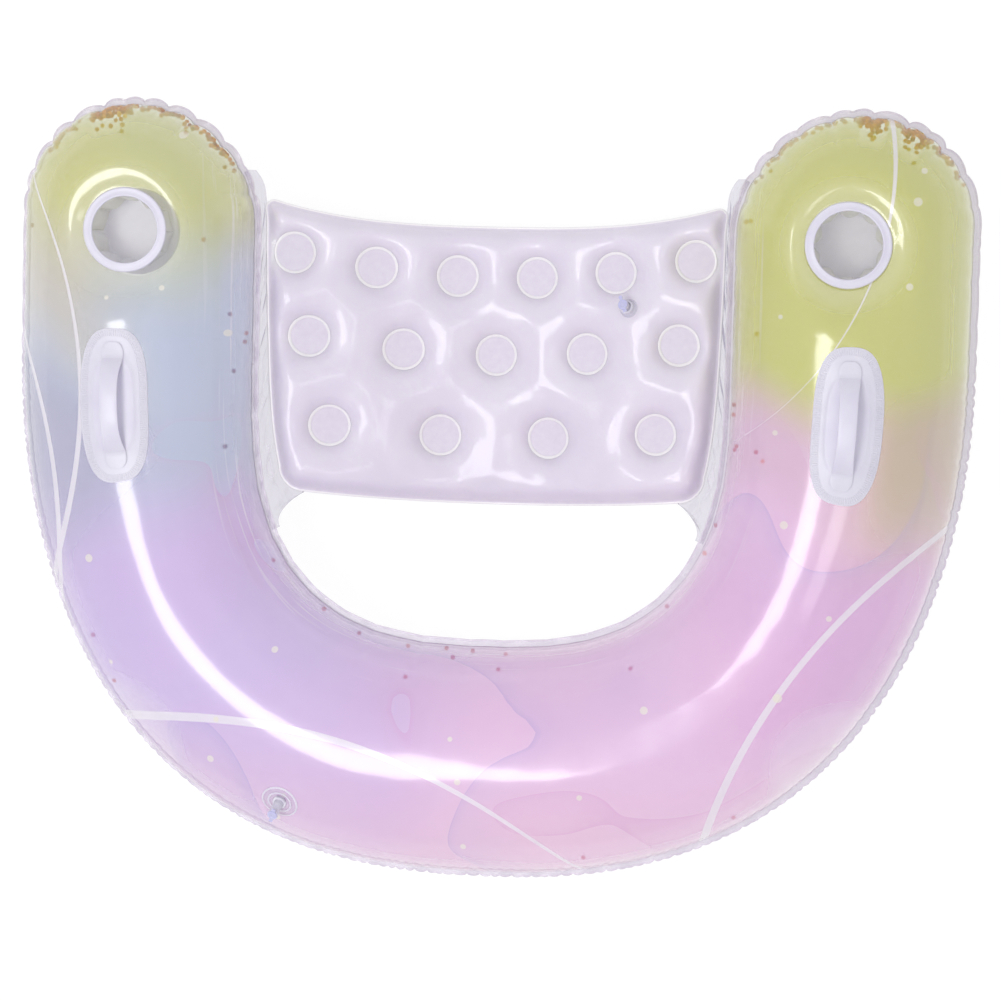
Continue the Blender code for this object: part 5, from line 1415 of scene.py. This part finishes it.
for name, height, flange_size, film_piece in (
        ("tube", 0.024, 0.048, tube_top), ("seat", 0.012, 0.024, seat_mat)):
    axis = Vector(joints[name + "_stem_slide"]["axis"]).normalized()
    side = -Vector(joints[name + "_stopper_hinge"]["axis"]).normalized()
    along = side.cross(axis).normalized()
    pivot = Vector(joints[name + "_stopper_hinge"]["pos_m"])
    fold = height + film_gap + tether_thick / 2
    origin = pivot + along * tether_reach - axis * fold
    base = Matrix((along, side, axis)).transposed().to_4x4()
    base.translation = origin

    bore, collar, edge = stem_radius + 0.0004, stem_radius + 0.0026, flange_size / 2
    rows = [
        (bore, 0.0), (bore, 0.0028), (bore + 0.0004, 0.0031), (collar - 0.0006, 0.0031), (collar, 0.0026),
        (collar + 0.0003, 0.0010),
    ]
    for share, height_there in (
            (0.12, 0.0008), (0.34, 0.0008), (0.38, 0.0013), (0.44, 0.0013), (0.48, 0.0008), (0.80, 0.0008),
            (0.86, 0.0010), (0.95, 0.0008), (1.0, 0.0004), (1.0, 0.0), (0.5, 0.0)):
        rows.append((collar + (edge - collar) * share, height_there))
    graph = bpy.context.evaluated_depsgraph_get()
    film_now = film_piece.evaluated_get(graph)
    steps = 72
    points = []
    for radius, rise in rows:
        for k in range(steps):
            turned = 2 * math.pi * k / steps
            at = base @ Vector((radius * math.cos(turned), radius * math.sin(turned), 0.0))
            if radius > collar + 0.0004:
                found, hit, _, _ = film_now.ray_cast(at + axis * 0.03, -axis, distance=0.06)
                if found:
                    at = hit
            points.append(at + axis * (rise + film_gap))
    faces = woven(len(rows), steps)
    flange_piece = outward(make_piece(name + "_valve_disc", points, faces, flange_vinyl))
    # The collar, the ridge and the rim take the denser, whiter vinyl: partly their thicker moulding, partly
    # a painted highlight along the rings' edges.
    flange_piece.data.materials.append(valve_vinyl)
    for face in flange_piece.data.polygons:
        from_axis = face.center - origin
        share = ((from_axis - axis * from_axis.dot(axis)).length - collar) / (edge - collar)
        if share < 0.06 or 0.33 < share < 0.46 or share > 0.90:
            face.material_index = 1
    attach(flange_piece, "float")
    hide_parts(name + "_valve_flange")

    lip = stem_radius + stem_lip
    stem = [
        (stem_bore, -stem_tail), (stem_bore, height - 0.0003), (stem_bore + 0.0003, height),
        (lip - 0.0005, height), (lip - 0.0001, height - 0.0002), (lip, height - 0.0006),
        (lip, height - 0.0018), (stem_radius + 0.0002, height - 0.0023), (stem_radius, height - 0.0028),
    ]
    if height > 0.02:
        for k in range(5):
            low = height - 0.0060 - 0.0024 * k
            stem += [(stem_radius, low + 0.0006), (stem_radius + 0.0003, low), (stem_radius, low - 0.0006)]
    stem += [
        (stem_radius, -stem_tail + 0.0020), (lip, -stem_tail + 0.0014), (lip, -stem_tail + 0.0002),
        (lip - 0.0003, -stem_tail),
    ]
    ear = [(x, side_y * tether_half) for x, side_y in (
        (-tether_reach, -1), (-stem_radius, -1), (-stem_radius, 1), (-tether_reach, 1))]
    stem_piece = outward(make_piece(name + "_valve_tube", *together(
        lathe(stem, 56, base), plate(ear, height - 0.001, height, base)), valve_vinyl))
    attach(stem_piece, name + "_stem")
    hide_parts(name + "_valve_stem")

    cap_low = height + film_gap
    cap_high = cap_low + 0.002
    cap = stem_radius + stem_lip / 2
    plug = [
        (0.0, cap_low - 0.0035), (0.0020, cap_low - 0.0035), (0.0024, cap_low - 0.0031),
        (0.0031, cap_low - 0.0002), (0.0031, cap_low), (cap - 0.0002, cap_low), (cap, cap_low + 0.0003),
        (cap, cap_high - 0.0007), (cap - 0.0002, cap_high - 0.0002), (cap - 0.0007, cap_high),
        (0.0036, cap_high), (0.0032, cap_high - 0.0004), (0.0, cap_high - 0.0005),
    ]
    tab = [(-tether_reach - tether_thick / 2, -tether_half), (0.0, -tether_half), (0.0085, -0.0020),
           (0.0105, -0.0026), (0.0122, -0.0022), (0.0130, 0.0)]
    tab += [(x, -y) for x, y in tab[-2::-1]]
    stopper_piece = outward(make_piece(name + "_valve_plug", *together(
        lathe(plug, 56, base), plate(tab, cap_low, cap_low + tether_thick, base)), stopper_vinyl))
    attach(stopper_piece, name + "_stopper")
    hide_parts(name + "_valve_stopper")

    flap = frame["nodes"][name + "_valve_flap"]
    flap.data.materials.clear()
    flap.data.materials.append(stopper_vinyl)

# Studio.
# A plain pale floor that shows white, a long softbox overhead on the left, a weaker one on the right, and
# soft light from all round. The camera looks down from 3.8 m.

floor_paint, add = new_finish("matt_white_floor")
path = add("LightPath").outputs
looked_at = add("Math", {0: path["Is Camera Ray"], 1: path["Is Glossy Ray"]}, operation="MAXIMUM")
looked_at = add("Math", {0: looked_at, 1: path["Is Transmission Ray"]}, operation="MAXIMUM")
seen = add("Math", {0: looked_at, 1: 0.86}, operation="MULTIPLY")
place = add("TexCoord").outputs["Object"]
mottle = add("TexNoise", {"Vector": place, "Scale": 3.0})
pale = add("Mix", {0: mottle, 6: colour("#F4F4F6"), 7: colour("#FBFBFC")}, data_type="RGBA")
matt = add("BsdfDiffuse", {"Color": pale})
glow = add("Emission", {"Strength": 1.07})
mixed = add("MixShader", {0: seen, 1: matt, 2: glow})
add("OutputMaterial", {0: mixed})
floor_half, floor_z = 6.0, -0.0006
floor_corners = [(x * floor_half, y * floor_half, floor_z) for x, y in ((-1, -1), (1, -1), (1, 1), (-1, 1))]
floor_sheet = make_piece("studio_floor", floor_corners, [(0, 1, 2, 3)], floor_paint)

for name, at, size, depth, power in (
        ("softbox_key", (-0.90, -0.47, 3.8), 1.9, 0.97, 46.0),
        ("softbox_side", (0.68, -0.28, 3.7), 0.5, 0.8, 4.0)):
    lamp = bpy.data.lights.new(name, "AREA")
    lamp.shape = "RECTANGLE"
    lamp.size, lamp.size_y, lamp.energy = size, depth, power
    holder = into_scene(name, lamp)
    holder.location = at
    holder.rotation_euler = (Vector((0.0, 0.0, 0.1)) - Vector(at)).to_track_quat("-Z", "Y").to_euler()

world = bpy.data.worlds.new("soft_surround")
world.use_nodes = True
world.node_tree.nodes.clear()
add = partial(add_node, world.node_tree)
path = add("LightPath").outputs
around = add("Background", {"Color": (0.97, 0.97, 1.0, 1.0), "Strength": 0.73})
behind = add("Background", {"Color": (1.0, 1.0, 1.0, 1.0), "Strength": 1.0})
mixed = add("MixShader", {0: path["Is Camera Ray"], 1: around, 2: behind})
add("OutputWorld", {0: mixed})
bpy.context.scene.world = world
bpy.context.scene.view_settings.view_transform = "Standard"

camera = bpy.data.cameras.new("studio_camera")
camera.lens = 103.9
camera.sensor_width = 36.0
camera.sensor_fit = "HORIZONTAL"
stand = into_scene("studio_camera", camera)
stand.location = (0.4453, 0.2309, 3.7938)
stand.rotation_euler = (-0.0622, 0.1178, 0.0250)
bpy.context.scene.camera = stand
